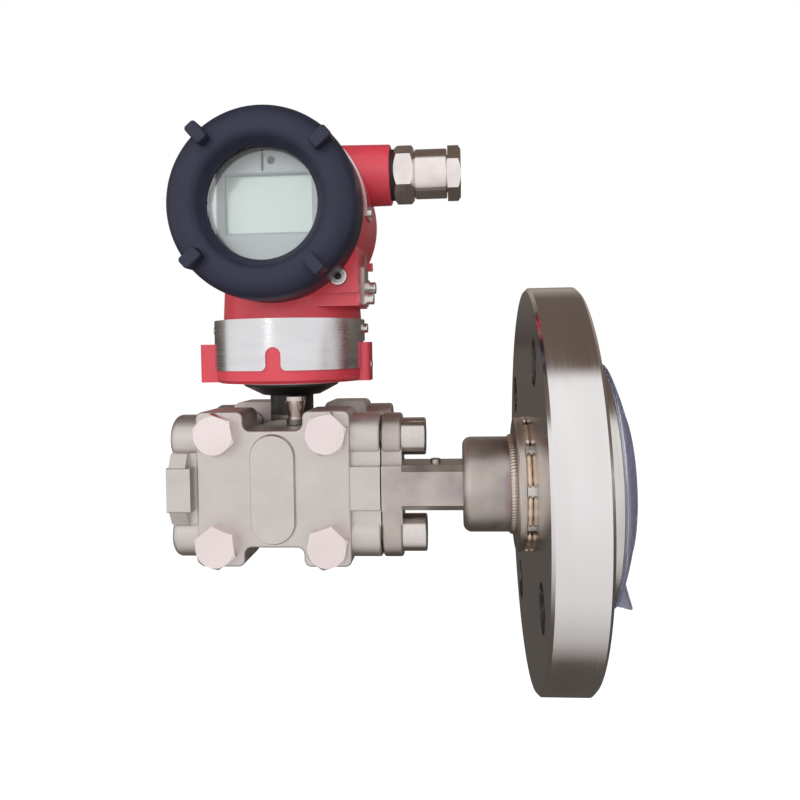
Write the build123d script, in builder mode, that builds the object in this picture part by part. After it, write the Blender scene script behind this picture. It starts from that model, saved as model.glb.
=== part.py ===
from build123d import *
from math import cos, radians, sin, sqrt, tan
import os

os.makedirs("parts", exist_ok=True)

# Frame: the origin is the centre of the process flange's inner face. +X leaves along the seal's axis
# to the process, +Z is up and +Y points away from the display. All sizes are in millimetres.

# Clearances
slip = 0.1                  # between a shank and its hole, and in a turning or sliding fit
air = 0.3                   # between pieces that only pass each other

# Process flange and diaphragm seal
flange_d = 165
flange_t = 20
flange_bore = 52
flange_edge = 1.2
bolt_circle = 125
bolt_hole_d = 18
bolt_hole_count = 4
bolt_hole_turn = 33.7       # first hole's angle from level, as the instrument hangs upright
seal_face_d = 102
seal_face_t = 10.5
seal_recess_d = 68
seal_recess_depth = 1.4
passage_d = 4
diaphragm_t = 0.4
wave_rise = 0.45
wave_pitch = 5
wave_count = 4
disc_d = 56
disc_t = 3.2
tack_gap = 2
tack_count = 10
tack_arc = 28

# Welded hub, bar and oval plate between the seal and the body
hub_d = 40
hub_len = 21.8
hub_round = 3.5
bead_leg = 2.8
bead_rise = 1.1
bar_len = 25.4
bar_h = 18.8
bar_depth = 23
bar_chamfer = 2.4
fill_plug_d = 4.6
fill_plug_h = 1.6
plate_t = 8.4
plate_round = 1.2
gasket_t = 0.6
gasket_d = 17
port_pitch = 41.3           # standard spacing of the two process connection screws
lobe_d = 20.4
web_w = 17
screw_d = 10
screw_head_d = 16
screw_head_h = 10
screw_key = 8
screw_reach = 13

# Process flanges of the measuring body
body_len = 90
body_t = 23
block_size = 65.6
block_round = 3
block_edge = 1.2
notch_w = 25.2
notch_depth = 8.1
pad_w = 19.6
pad_h = 46.7
pad_rise = 1.6
lobe_round = 3
boss_proud = 2.5
boss_len = 10.3
boss_edge = 0.8
flare_rise = 5.6
port_d = 11.4
port_len = 12
bolt_d = 10
bolt_pitch = 46.8
bolt_across = 16
bolt_head_h = 6.4
bolt_tail = 3
nut_h = 8.4
port_plug_key = 6
port_plug_set = 0.5         # plug's head below the face around the port

# Capsule between the process flanges
capsule_d = 54
capsule_t = 31.5
waist_d = 51
waist_w = 14
isolator_d = 41
isolator_t = 0.4
isolator_room = 1.2
chamber_d = 40
chamber_depth = 2
seal_ring_d = 45.6
seal_ring_w = 2
seal_ring_t = 1.7
cell_d = 30
cell_t = 11
neck_d = 20
neck_bore = 11
neck_top = 46               # height of the neck's rim above the seal's axis
stem_dx = 5
stem_y = 12.2
stem_boss_d = 8.4
stem_boss_h = 2.3
stem_ring_d = 7.2
stem_ring_h = 0.9
stem_foot_d = 6.2
stem_head_d = 9.2
stem_top = 37.5

# Black flared neck that carries the head
socket_d = 44
socket_len = 17.4
socket_wall = 3
socket_step = 1.4
socket_gap = 1.2            # daylight between the flare and the collar
flare_foot_d = 27
flare_h = 4.8
sensor_board_t = 1.6
sensor_board_rise = 8

# Head: collar, saddle and barrel
collar_z = 43.8             # underside of the collar
collar_d = 68
collar_h = 28.2
collar_edge = 1.5
lug_span = 79.6
lug_shift = -1.9            # the pair of lugs sits a little to the left of the neck
lug_w = 13
lug_h = 17.7
lug_round = 2
collar_ring_t = 0.6
collar_ring_w = 2.2
socket_roof = 1.6
set_screw_d = 5
set_screw_rise = 7.2
set_screw_proud = 0.4
wire_hole_d = 12
saddle_d = 63.6
saddle_shift = 1.4
saddle_draft = 3
barrel_rise = 46            # from the collar's top to the barrel's axis
barrel_d = 79
barrel_front = 32.25        # from the neck's axis towards the display
barrel_back = 19.75
spigot_len = 10.7
front_bore_d = 62
front_spigot_d = 70
back_bore_d = 57
back_spigot_d = 64
wall_t = 4
wall_set = 35               # from the front spigot's rim to the dividing wall

# Side block with the zero screw and the earth terminal, heights taken from the barrel's axis
block_left = 14.5
block_right = 36.2
block_top = -15
block_lip = -35.5
block_bottom = -41
block_front_set = 2         # behind the barrel's front face
block_lip_set = 4.5
block_back_set = 32
seal_ear_top = -20
seal_ear_h = 3.6
seal_ear_reach = 3
seal_ear_t = 3.4

# Conduit entries and cable gland
entry_rise = 21.7
entry_y = 32
entry_d = 28
entry_reach = 48.4
entry_draft = 1
entry_edge = 0.8
entry_bore_d = 20
entry_bore_len = 34
gland_washer_t = 1.8
gland_washer_d = 23.6
gland_across = 24
gland_hex_len = 8.9
gland_body_d = 22.8
gland_body_len = 15.4
gland_thread_len = 12
gland_bore_d = 13
gland_mouth_d = 17.4
gland_mouth_len = 15
nut_across = 22
nut_hex_len = 6.1
nut_turn = 12
nut_spigot_len = 7.2
nut_bore_d = 9.8
cable_hole_d = 9
insert_len = 6
plug_head_d = 23
plug_head_t = 3
plug_key = 8

# Covers
cover_d = 79
cover_len = 21.7
cover_round = 8
cover_crease = 4.5          # rounding where the front turns into the window's bevel
ring_inner_d = 53.6
window_d = 46
bevel_depth = 6
lip_t = 1
glass_d = 51.8
glass_t = 5
ring_t = 2
ring_hole_d = 46.4
seat_wall = 2.9
seat_spare = 0.5
roof_set = 10               # from the cover's front face to the flat behind it
back_cover_d = 72
back_cover_len = 20.7
back_cover_wall = 4
back_cover_round = 4
cover_lug_count = 4
cover_lug_turn = 41
cover_lug_r = 34.6
cover_lug_len = 8.6
cover_lug_w = 5.4
cover_lug_h = 5.5
cover_lug_round = 1.4
cover_lug_edge = 0.9
back_lug_r = 29
o_ring_w = 2.3
o_ring_room = 3

# Display and electronics, depths taken from the front spigot's rim
bezel_d = 61.2
bezel_set = 7
bezel_t = 3
bezel_wall = 1.8
bezel_slot_w = 1.2          # slot that runs up from the screen to the bezel's rim
bezel_slot_len = 9
bezel_slot_dx = 2
bezel_key_d = 3.6           # round opening over the board's button, beside the slot
bezel_key_gap = 1.2
screen_w = 37
screen_h = 24.4
screen_rise = 1.8
screen_rim = 1.6
screen_t = 6
board_t = 1.6
display_board_d = 60
main_board_d = 57
main_board_set = 27
post_d = 4.4
post_circle_d = 46
post_count = 3
terminal_w = 44
terminal_h = 22
terminal_t = 11
terminal_drop = 7
terminal_count = 4
terminal_pitch = 10
terminal_slot_w = 7.4
terminal_slot_t = 3
terminal_screw_d = 6
terminal_screw_h = 2.2
terminal_shank_d = 3.4
terminal_shank_len = 5

# Plates and small screws
band_t = 0.7
band_h = 22.4
band_arc = 196
band_gap = 0.05
band_notch_w = 6.6
band_notch_h = 10.1
band_notch_flare = 2.4
band_screw_d = 4.4
band_screw_h = 1.8
band_screw_shank_d = 2.5
band_screw_shank_len = 6
band_screw_drop = 4
strap_w = 17
strap_t = 0.8
strap_arc = 188
strap_set = 5               # behind the barrel's front face
rivet_d = 3.6
rivet_h = 1.1
rivet_shank_d = 2.4
rivet_shank_len = 5
zero_dx = 28
zero_rise = -28.7
zero_head_d = 7.7
zero_head_h = 2
zero_shank_d = 4
zero_shank_len = 9
zero_key = 2.8
earth_plate_t = 1.2
earth_plate_y = 17.5
earth_plate_w = 15
earth_plate_top = -16.5
earth_plate_bottom = -40.5
earth_plate_slope = 7
earth_screws_at = ((21, -32), (12.5, -37.3))
earth_screw_d = 5.4
earth_screw_h = 3
earth_washer_d = 7.2
earth_washer_t = 1
earth_shank_d = 3.2
earth_shank_len = 7

# Protective cap over the seal
cap_set = 0.5               # the cap's rim inside the edge of the seal's plate
cap_t = 1.2
cap_rise = 12.4
cap_foot_h = 1.4
cap_foot_w = 2.5
cap_plug_w = 1.2
cap_plug_gap = 0.4
cap_plug_set = 0.6
tab_w = 22
tab_t = 1.1
tab_foot_set = 9.5          # from the cap's rim in to where the pull tab leaves the dome
tab_hang = 3                # from the cap's rim out to the tab's tip
tab_lean = 4.4

# Places that follow from the sizes above
disc_front = -flange_t - tack_gap
disc_back = disc_front - disc_t
hub_back = disc_back - hub_len
plate_front = hub_back - bar_len
plate_back = plate_front - plate_t
body_end = plate_back - gasket_t
body_x = body_end - body_len / 2
body_start = body_x - body_len / 2
recess_x = seal_face_t - seal_recess_depth
capsule_front = body_t / 2
capsule_back = capsule_front + capsule_t
head_y = (capsule_front + capsule_back) / 2
notch_floor = block_size / 2 - notch_depth
collar_top = collar_z + collar_h
socket_top = collar_z - socket_gap + socket_len
head_z = collar_top + barrel_rise
barrel_front_y = head_y - barrel_front
barrel_back_y = head_y + barrel_back
spigot_front_y = barrel_front_y - spigot_len
spigot_back_y = barrel_back_y + spigot_len
wall_front_y = spigot_front_y + wall_set
wall_back_y = wall_front_y + wall_t
entry_z = head_z + entry_rise
cover_back_y = barrel_front_y - air
cover_front_y = cover_back_y - cover_len

seal_axis = Axis((0, 0, 0), (1, 0, 0))
cell_axis = Axis((body_x, 0, 0), (0, 1, 0))
barrel_axis = Axis((body_x, 0, head_z), (0, 1, 0))
neck_axis = Axis((body_x, head_y, 0), (0, 0, 1))
entry_axis = Axis((0, entry_y, entry_z), (1, 0, 0))


def facing_viewer(y, x=body_x, z=head_z):
    """Plane at depth y with x to the right, z up and its normal towards the viewer."""
    return Plane(origin=(x, y, z), x_dir=(1, 0, 0), z_dir=(0, -1, 0))


def facing_back(y, x=body_x, z=head_z):
    """Plane at depth y with z up and its normal away from the viewer."""
    return Plane(origin=(x, y, z), x_dir=(-1, 0, 0), z_dir=(0, 1, 0))


def facing_process(x, y=0, z=0):
    """Plane at x with local x along +Y, local y up and its normal along +X."""
    return Plane(origin=(x, y, z), x_dir=(0, 1, 0), z_dir=(1, 0, 0))


def facing_left(x, y=0, z=0):
    """Plane at x with local x along -Y, local y up and its normal along -X."""
    return Plane(origin=(x, y, z), x_dir=(0, -1, 0), z_dir=(-1, 0, 0))


def facing_up(z, x=body_x, y=head_y):
    """Level plane at height z, centred on the neck's axis unless told otherwise."""
    return Plane(origin=(x, y, z), x_dir=(1, 0, 0), z_dir=(0, 0, 1))


def seal_profile(*points):
    """Solid turned about the seal's axis from points given as (x, radius)."""
    with BuildPart() as turned:
        with BuildSketch(Plane.XZ):
            Polygon(*points, align=None)
        revolve(axis=seal_axis)
    return turned.part


def barrel_profile(*points):
    """Solid turned about the barrel's axis from points given as (y, radius)."""
    with BuildPart() as turned:
        with BuildSketch(Plane.YZ.offset(body_x)):
            Polygon(*[(y, head_z + r) for y, r in points], align=None)
        revolve(axis=barrel_axis)
    return turned.part


def neck_profile(*points):
    """Solid turned about the neck's axis from points given as (radius, z)."""
    with BuildPart() as turned:
        with BuildSketch(Plane.XZ.offset(-head_y)):
            Polygon(*[(body_x + r, z) for r, z in points], align=None)
        revolve(axis=neck_axis)
    return turned.part


def entry_profile(*points):
    """Solid turned about the conduit entry's axis from points given as (x, radius)."""
    with BuildPart() as turned:
        with BuildSketch(Plane.XZ.offset(-entry_y)):
            Polygon(*[(x, entry_z + r) for x, r in points], align=None)
        revolve(axis=entry_axis)
    return turned.part


def hex_block(across, height, both_ends=False):
    """Hexagon standing on its own XY plane with the turned bevel across its corners."""
    corner = across / sqrt(3)
    bevel = (corner - across / 2) * tan(radians(35))
    foot = [(across / 2, 0), (corner, bevel)] if both_ends else [(corner, 0)]
    with BuildPart() as block:
        with BuildSketch():
            RegularPolygon(across / 2, 6, major_radius=False)
        extrude(amount=height)
        with BuildSketch(Plane.XZ):
            Polygon((0, 0), *foot, (corner, height - bevel), (across / 2, height), (0, height), align=None)
        revolve(axis=Axis.Z, mode=Mode.INTERSECT)
    return block.part


def round_screw(head_d, head_h, shank_d, shank_len, key, edge):
    """Round head with a hexagon socket on its own XY plane, with its shank below the plane."""
    with BuildPart() as screw:
        with BuildSketch():
            Circle(head_d / 2)
        extrude(amount=head_h)
        fillet(screw.edges().group_by(Axis.Z)[-1], edge)
        with BuildSketch(Plane.XY.offset(head_h)):
            RegularPolygon(key / 2, 6, major_radius=False)
        extrude(amount=-head_h / 2, mode=Mode.SUBTRACT)
        with BuildSketch():
            Circle(shank_d / 2)
        extrude(amount=-shank_len)
    return screw.part


# Process flange: turned ring with a centre bore and four bolt holes
with BuildPart() as process_flange:
    with BuildSketch(facing_process(-flange_t)):
        Circle(flange_d / 2)
        Circle(flange_bore / 2, mode=Mode.SUBTRACT)
        with PolarLocations(bolt_circle / 2, bolt_hole_count, start_angle=bolt_hole_turn):
            Circle(bolt_hole_d / 2, mode=Mode.SUBTRACT)
    extrude(amount=flange_t)
    chamfer(process_flange.edges().filter_by(GeomType.CIRCLE).group_by(SortBy.RADIUS)[-1], flange_edge)
process_flange.part.label = "process_flange"
export_step(process_flange.part, "parts/process_flange.step")

# Seal body: spigot through the flange, raised plate and shallow recess for the diaphragm
spigot_r = flange_bore / 2 - slip
with BuildPart() as seal_body:
    add(seal_profile(
        (disc_front, passage_d / 2),
        (disc_front, spigot_r),
        (0, spigot_r),
        (0, seal_face_d / 2),
        (seal_face_t - 1, seal_face_d / 2),
        (seal_face_t, seal_face_d / 2 - 1),
        (seal_face_t, seal_recess_d / 2),
        (recess_x, seal_recess_d / 2),
        (recess_x, passage_d / 2),
    ))
seal_body.part.label = "seal_body"
export_step(seal_body.part, "parts/seal_body.step")

# Diaphragm: thin corrugated foil with a flat rim welded into the recess
foil_r = seal_recess_d / 2 - 1
first_wave_r = foil_r - wave_pitch / 2
foil = [(recess_x, foil_r)]
foil += [
    (recess_x + wave_rise * (step % 2), first_wave_r - step * wave_pitch / 2)
    for step in range(2 * wave_count + 1)
]
foil += [(recess_x, 0)]
with BuildPart() as diaphragm:
    add(seal_profile(*foil, *[(x + diaphragm_t, r) for x, r in reversed(foil)]))
diaphragm.part.label = "diaphragm"
export_step(diaphragm.part, "parts/diaphragm.step")

# Backing disc between the hub and the seal body
with BuildPart() as seal_disc:
    with BuildSketch(facing_process(disc_back)):
        Circle(disc_d / 2)
        Circle(passage_d / 2, mode=Mode.SUBTRACT)
    extrude(amount=disc_t)
    chamfer(seal_disc.edges().filter_by(GeomType.CIRCLE).group_by(SortBy.RADIUS)[-1], 0.5)
seal_disc.part.label = "seal_disc"
export_step(seal_disc.part, "parts/seal_disc.step")

# Tack welds: short runs round the spigot in the gap between the disc and the flange
tack_low = spigot_r + slip
tack_high = disc_d / 2
with BuildPart() as tack_welds:
    for index in range(tack_count):
        with BuildSketch(Plane.XZ.rotated((index * 360 / tack_count, 0, 0))):
            with BuildLine():
                Polyline((disc_front, tack_high - 0.8), (disc_front, tack_low), (-flange_t, tack_low),
                         (-flange_t, tack_high))
                ThreePointArc((-flange_t, tack_high), (disc_front + tack_gap / 2, tack_high + 0.3),
                              (disc_front, tack_high - 0.8))
            make_face()
        revolve(axis=seal_axis, revolution_arc=tack_arc)
tack_welds.part.label = "tack_welds"
export_step(tack_welds.part, "parts/tack_welds.step")

# Adapter: one forging with the round hub, the bar and the oval plate with its two screw lobes
hub_r = hub_d / 2
port_offsets = ((0, port_pitch / 2), (0, -port_pitch / 2))
with BuildPart() as process_adapter:
    add(seal_profile(
        (hub_back, 0),
        (hub_back, hub_r),
        (disc_back - bead_leg, hub_r),
        (disc_back, hub_r - bead_leg),
        (disc_back, 0),
    ))
    fillet(process_adapter.edges().filter_by(GeomType.CIRCLE).group_by(Axis.X)[0], hub_round)
    with BuildSketch(facing_process(plate_back)):
        with Locations(*port_offsets):
            Circle(lobe_d / 2)
    extrude(amount=plate_t)
    lobe_rims = process_adapter.edges().filter_by(GeomType.CIRCLE).filter_by(
        lambda rim: rim.center().X < plate_front + slip)
    fillet(lobe_rims, plate_round)
    with BuildSketch(facing_process(plate_back)):
        Rectangle(web_w, port_pitch)
        Rectangle(bar_depth, bar_h)
    extrude(amount=plate_t)
    with BuildSketch(facing_process(plate_front)):
        Rectangle(bar_depth, bar_h)
        chamfer(vertices(), bar_chamfer)
    extrude(amount=bar_len + hub_round)
    with Locations(facing_process(plate_front)):
        with Locations(*port_offsets):
            Hole(screw_d / 2 + slip, depth=plate_t)
    with Locations(facing_process(disc_back)):
        Hole(passage_d / 2)
process_adapter.part.label = "process_adapter"
export_step(process_adapter.part, "parts/process_adapter.step")

# Weld bead in the bevel between the hub and the disc
with BuildPart() as hub_weld_bead:
    with BuildSketch(Plane.XZ):
        with BuildLine():
            Polyline((disc_back - bead_leg, hub_r), (disc_back, hub_r - bead_leg), (disc_back, hub_r + bead_rise))
            ThreePointArc((disc_back, hub_r + bead_rise), (disc_back - bead_leg * 0.6, hub_r + bead_rise * 0.8),
                          (disc_back - bead_leg, hub_r))
        make_face()
    revolve(axis=seal_axis)
hub_weld_bead.part.label = "hub_weld_bead"
export_step(hub_weld_bead.part, "parts/hub_weld_bead.step")

# Filling port plug on top of the bar
with BuildPart() as fill_plug:
    with BuildSketch(facing_up(bar_h / 2, x=plate_front + bar_len * 0.55, y=0)):
        Circle(fill_plug_d / 2)
    extrude(amount=fill_plug_h)
    chamfer(fill_plug.edges().group_by(Axis.Z)[-1], 0.4)
fill_plug.part.label = "fill_port_plug"
export_step(fill_plug.part, "parts/fill_port_plug.step")

# Gasket ring between the body's port and the adapter plate
with BuildPart() as adapter_gasket:
    with BuildSketch(facing_process(body_end)):
        Circle(gasket_d / 2)
        Circle(port_d / 2, mode=Mode.SUBTRACT)
    extrude(amount=gasket_t)
adapter_gasket.part.label = "adapter_gasket"
export_step(adapter_gasket.part, "parts/adapter_gasket.step")

# Two socket head screws that hold the adapter
adapter_screw = round_screw(screw_head_d, screw_head_h, screw_d, plate_t + gasket_t + screw_reach, screw_key, 0.8)
with BuildPart() as adapter_screws:
    with Locations(facing_process(plate_front)):
        with Locations(*port_offsets):
            add(adapter_screw)
adapter_screws.part.label = "adapter_screws"
export_step(adapter_screws.part, "parts/adapter_screws.step")

# Block of a process flange: square ears at the corners and a notch above and below
body_face = facing_viewer(-body_t / 2, z=0)
with BuildPart() as ear_block:
    with BuildSketch(body_face):
        Rectangle(block_size, block_size)
        with Locations((0, block_size / 2), (0, -block_size / 2)):
            Rectangle(notch_w, 2 * notch_depth, mode=Mode.SUBTRACT)
        fillet(vertices(), block_round)
    extrude(amount=-body_t)
    fillet(ear_block.faces().sort_by(Axis.Y)[0].outer_wire().edges(), block_edge)

# Front process flange: the ear block with screw lobes, end bosses, a raised pad and its drilled passages
boss_front = body_t / 2 + boss_proud
flare_z = bar_h / 2 + flare_rise
with BuildPart() as front_flange:
    with BuildSketch(facing_process(body_start)):
        with Locations(*port_offsets):
            Circle(lobe_d / 2)
    extrude(amount=body_len)
    fillet(front_flange.edges().filter_by(GeomType.CIRCLE).group_by(Axis.X)[0], lobe_round)
    fillet(front_flange.edges().filter_by(GeomType.CIRCLE).group_by(Axis.X)[-1], plate_round)
    with BuildSketch(facing_process(body_start + lobe_round / 2)):
        Rectangle(web_w, port_pitch)
    extrude(amount=body_len - lobe_round / 2)
    with BuildSketch(facing_process(body_start + boss_edge)):
        Polygon((-boss_front + boss_edge, bar_h / 2), (-lobe_d / 2, flare_z), (0, flare_z),
                (0, -flare_z), (-lobe_d / 2, -flare_z), (-boss_front + boss_edge, -bar_h / 2), align=None)
    extrude(amount=boss_len * 0.7)
    with BuildSketch(facing_process(body_start)):
        with Locations(((body_t / 2 - boss_front) / 2, 0)):
            RectangleRounded(body_t / 2 + boss_front, bar_h, boss_edge)
    extrude(amount=boss_len)
    with BuildSketch(facing_left(body_end)):
        RectangleRounded(body_t - 1, bar_h, boss_edge)
    extrude(amount=(body_len - block_size) / 2 + 2 * block_edge)
    with BuildSketch(body_face):
        with Locations((0, block_size / 2), (0, -block_size / 2)):
            Rectangle(notch_w, 2 * notch_depth)
    extrude(amount=-body_t, mode=Mode.SUBTRACT)
    add(ear_block.part)
    with BuildSketch(body_face):
        SlotOverall(pad_h, pad_w, rotation=90)
    extrude(amount=pad_rise, taper=25)
    with Locations(body_face):
        with GridLocations(bolt_pitch, bolt_pitch, 2, 2):
            Hole(bolt_d / 2 + 2 * slip)
    for end in (facing_process(body_end), facing_left(body_start)):
        with Locations(end):
            Hole(port_d / 2, depth=port_len)
            Hole(passage_d / 2, depth=body_len / 2)
            with Locations(*port_offsets):
                Hole(screw_d / 2 + slip, depth=screw_reach + 1)
    with Locations(facing_back(capsule_front, z=0)):
        Hole(passage_d / 2, depth=body_t / 2)
        Hole(chamber_d / 2, depth=chamber_depth)
    with BuildSketch(facing_back(capsule_front, z=0)):
        Circle(seal_ring_d / 2 + seal_ring_w / 2 + slip)
        Circle(seal_ring_d / 2 - seal_ring_w / 2 - slip, mode=Mode.SUBTRACT)
    extrude(amount=-seal_ring_t - slip, mode=Mode.SUBTRACT)
front_flange.part.label = "front_process_flange"
export_step(front_flange.part, "parts/front_process_flange.step")

# Rear process flange: the same casting turned to face the capsule from behind
middle = Plane(origin=(body_x, head_y, 0), x_dir=(1, 0, 0), z_dir=(0, 1, 0))
with BuildPart() as rear_flange:
    mirror(front_flange.part, about=middle)
rear_flange.part.label = "rear_process_flange"
export_step(rear_flange.part, "parts/rear_process_flange.step")

# Four hexagon bolts through both process flanges, each as it was left by the spanner
bolt_len = 2 * head_y + body_t + nut_h + bolt_tail
half_pitch = bolt_pitch / 2
bolt_places = (
    (-half_pitch, half_pitch, 40),
    (half_pitch, half_pitch, 16),
    (-half_pitch, -half_pitch, 38),
    (half_pitch, -half_pitch, 18),
)
bolt_head = hex_block(bolt_across, bolt_head_h)
with BuildPart() as flange_bolts:
    for dx, z, turn in bolt_places:
        with Locations(facing_viewer(-body_t / 2, x=body_x + dx, z=z)):
            add(bolt_head, rotation=(0, 0, turn))
        with BuildSketch(facing_back(-body_t / 2, x=body_x + dx, z=z)):
            Circle(bolt_d / 2)
        extrude(amount=bolt_len)
    chamfer(flange_bolts.edges().filter_by(GeomType.CIRCLE).group_by(Axis.Y)[-1], 1)
flange_bolts.part.label = "flange_bolts"
export_step(flange_bolts.part, "parts/flange_bolts.step")

# Their nuts behind the rear process flange
nut_blank = hex_block(bolt_across, nut_h)
with BuildPart() as flange_nuts:
    for dx, z, turn in bolt_places:
        with Locations(facing_back(2 * head_y + body_t / 2, x=body_x + dx, z=z)):
            add(nut_blank, rotation=(0, 0, turn))
        with BuildSketch(facing_back(2 * head_y + body_t / 2, x=body_x + dx, z=z)):
            Circle(bolt_d / 2 + slip)
        extrude(amount=nut_h, mode=Mode.SUBTRACT)
flange_nuts.part.label = "flange_nuts"
export_step(flange_nuts.part, "parts/flange_nuts.step")

# Plugs in the two unused ports: the front flange's left one and the rear flange's right one.
# The rear flange's left port stays open, because a straight line to the right one would meet the seal.
plug_depth = port_len - 2
plug_mouths = (facing_process(body_start + port_plug_set), facing_left(body_end - port_plug_set, y=2 * head_y))
with BuildPart() as port_plugs:
    for mouth in plug_mouths:
        with BuildSketch(mouth):
            Circle(port_d / 2 - slip)
        extrude(amount=plug_depth)
        with BuildSketch(mouth):
            RegularPolygon(port_plug_key / 2, 6, major_radius=False)
        extrude(amount=plug_depth / 2, mode=Mode.SUBTRACT)
port_plugs.part.label = "port_plugs"
export_step(port_plugs.part, "parts/port_plugs.step")

# Capsule: turned cell body with a waist, a diaphragm seat on each side and the neck that carries the head
seat_front = capsule_front + isolator_room
seat_back = capsule_back - isolator_room
waist_edge = (capsule_t - waist_w) / 2
seats = (facing_viewer(seat_front, z=0), facing_back(seat_back, z=0))
stem_base = notch_floor + air + stem_boss_h
with BuildPart() as capsule:
    with BuildSketch(Plane.YZ.offset(body_x)):
        Polygon(
            (seat_front, 0),
            (seat_front, isolator_d / 2 + slip),
            (capsule_front, isolator_d / 2 + slip),
            (capsule_front, capsule_d / 2),
            (capsule_front + waist_edge, capsule_d / 2),
            (capsule_front + waist_edge, waist_d / 2),
            (capsule_back - waist_edge, waist_d / 2),
            (capsule_back - waist_edge, capsule_d / 2),
            (capsule_back, capsule_d / 2),
            (capsule_back, isolator_d / 2 + slip),
            (seat_back, isolator_d / 2 + slip),
            (seat_back, 0),
            align=None,
        )
    revolve(axis=cell_axis)
    with BuildSketch(facing_up(cell_d / 2 + 1)):
        Circle(neck_d / 2)
    extrude(amount=neck_top - cell_d / 2 - 1)
    with BuildSketch(facing_up(stem_base - stem_boss_h, x=body_x + stem_dx, y=stem_y)):
        Circle(stem_boss_d / 2)
    extrude(amount=stem_boss_h)
    with BuildSketch(facing_back(head_y - cell_t / 2 - slip, z=0)):
        Circle(cell_d / 2 + slip)
    extrude(amount=cell_t + 2 * slip, mode=Mode.SUBTRACT)
    with BuildSketch(facing_up(cell_d / 2 - 1)):
        Circle(neck_bore / 2)
    extrude(amount=neck_top - cell_d / 2 + 1, mode=Mode.SUBTRACT)
    for seat in seats:
        with Locations(seat):
            Hole(passage_d / 4, depth=(capsule_t - cell_t) / 2)
capsule.part.label = "capsule"
export_step(capsule.part, "parts/capsule.step")

# Isolating diaphragms lying in the capsule's two seats
with BuildPart() as isolators:
    for seat in seats:
        with BuildSketch(seat):
            Circle(isolator_d / 2)
        extrude(amount=isolator_t)
isolators.part.label = "isolating_diaphragms"
export_step(isolators.part, "parts/isolating_diaphragms.step")

# Seal rings pressed between the capsule and the process flanges
with BuildPart() as seal_rings:
    for rim in (facing_viewer(capsule_front, z=0), facing_back(capsule_back, z=0)):
        with BuildSketch(rim):
            Circle(seal_ring_d / 2 + seal_ring_w / 2)
            Circle(seal_ring_d / 2 - seal_ring_w / 2, mode=Mode.SUBTRACT)
        extrude(amount=seal_ring_t)
seal_rings.part.label = "capsule_seals"
export_step(seal_rings.part, "parts/capsule_seals.step")

# Sensor cell inside the capsule
with BuildPart() as sensor_cell:
    with BuildSketch(facing_back(head_y - cell_t / 2, z=0)):
        Circle(cell_d / 2)
    extrude(amount=cell_t)
    chamfer(sensor_cell.edges().filter_by(GeomType.CIRCLE), 1)
sensor_cell.part.label = "sensor_cell"
export_step(sensor_cell.part, "parts/sensor_cell.step")

# Sealed filling stem that widens towards its top
cone_base = stem_base + stem_ring_h
cone_top = cone_base + 0.8 * (stem_top - cone_base)
with BuildPart() as fill_stem:
    with BuildSketch(facing_up(stem_base, x=body_x + stem_dx, y=stem_y)):
        Circle(stem_ring_d / 2)
    extrude(amount=stem_ring_h)
    with BuildSketch(facing_up(cone_base, x=body_x + stem_dx, y=stem_y)):
        Circle(stem_foot_d / 2)
    with BuildSketch(facing_up(cone_top, x=body_x + stem_dx, y=stem_y)):
        Circle(stem_head_d / 2)
    loft()
    with BuildSketch(facing_up(cone_top, x=body_x + stem_dx, y=stem_y)):
        Circle(stem_head_d / 2)
    extrude(amount=stem_top - cone_top)
fill_stem.part.label = "fill_stem"
export_step(fill_stem.part, "parts/fill_stem.step")

# Black neck adapter: flared foot, stepped socket for the sensor board and the journal inside the collar
flare_top = collar_z - socket_gap
flare_foot = flare_top - flare_h
board_z = neck_top + sensor_board_rise
socket_r = socket_d / 2
with BuildPart() as neck_adapter:
    add(neck_profile(
        (neck_d / 2 + slip, flare_foot),
        (flare_foot_d / 2, flare_foot),
        (socket_r - 0.4, flare_top - 0.6),
        (socket_r, flare_top),
        (socket_r, socket_top),
        (socket_r - socket_wall, socket_top),
        (socket_r - socket_wall, board_z),
        (socket_r - socket_wall - socket_step, board_z),
        (socket_r - socket_wall - socket_step, neck_top),
        (neck_d / 2 + slip, neck_top),
    ))
neck_adapter.part.label = "neck_adapter"
export_step(neck_adapter.part, "parts/neck_adapter.step")

# Sensor board on the socket's step
with BuildPart() as sensor_board:
    with BuildSketch(facing_up(board_z)):
        Circle(socket_r - socket_wall - slip)
        with Locations((0, socket_r / 2)):
            Circle(neck_bore / 4, mode=Mode.SUBTRACT)
    extrude(amount=sensor_board_t)
sensor_board.part.label = "sensor_board"
export_step(sensor_board.part, "parts/sensor_board.step")

# Sealing ring under the collar
with BuildPart() as collar_seal:
    with BuildSketch(facing_up(collar_z - collar_ring_t)):
        Circle(socket_r + air + collar_ring_w)
        Circle(socket_r + air, mode=Mode.SUBTRACT)
    extrude(amount=collar_ring_t)
collar_seal.part.label = "collar_seal"
export_step(collar_seal.part, "parts/collar_seal.step")

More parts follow.
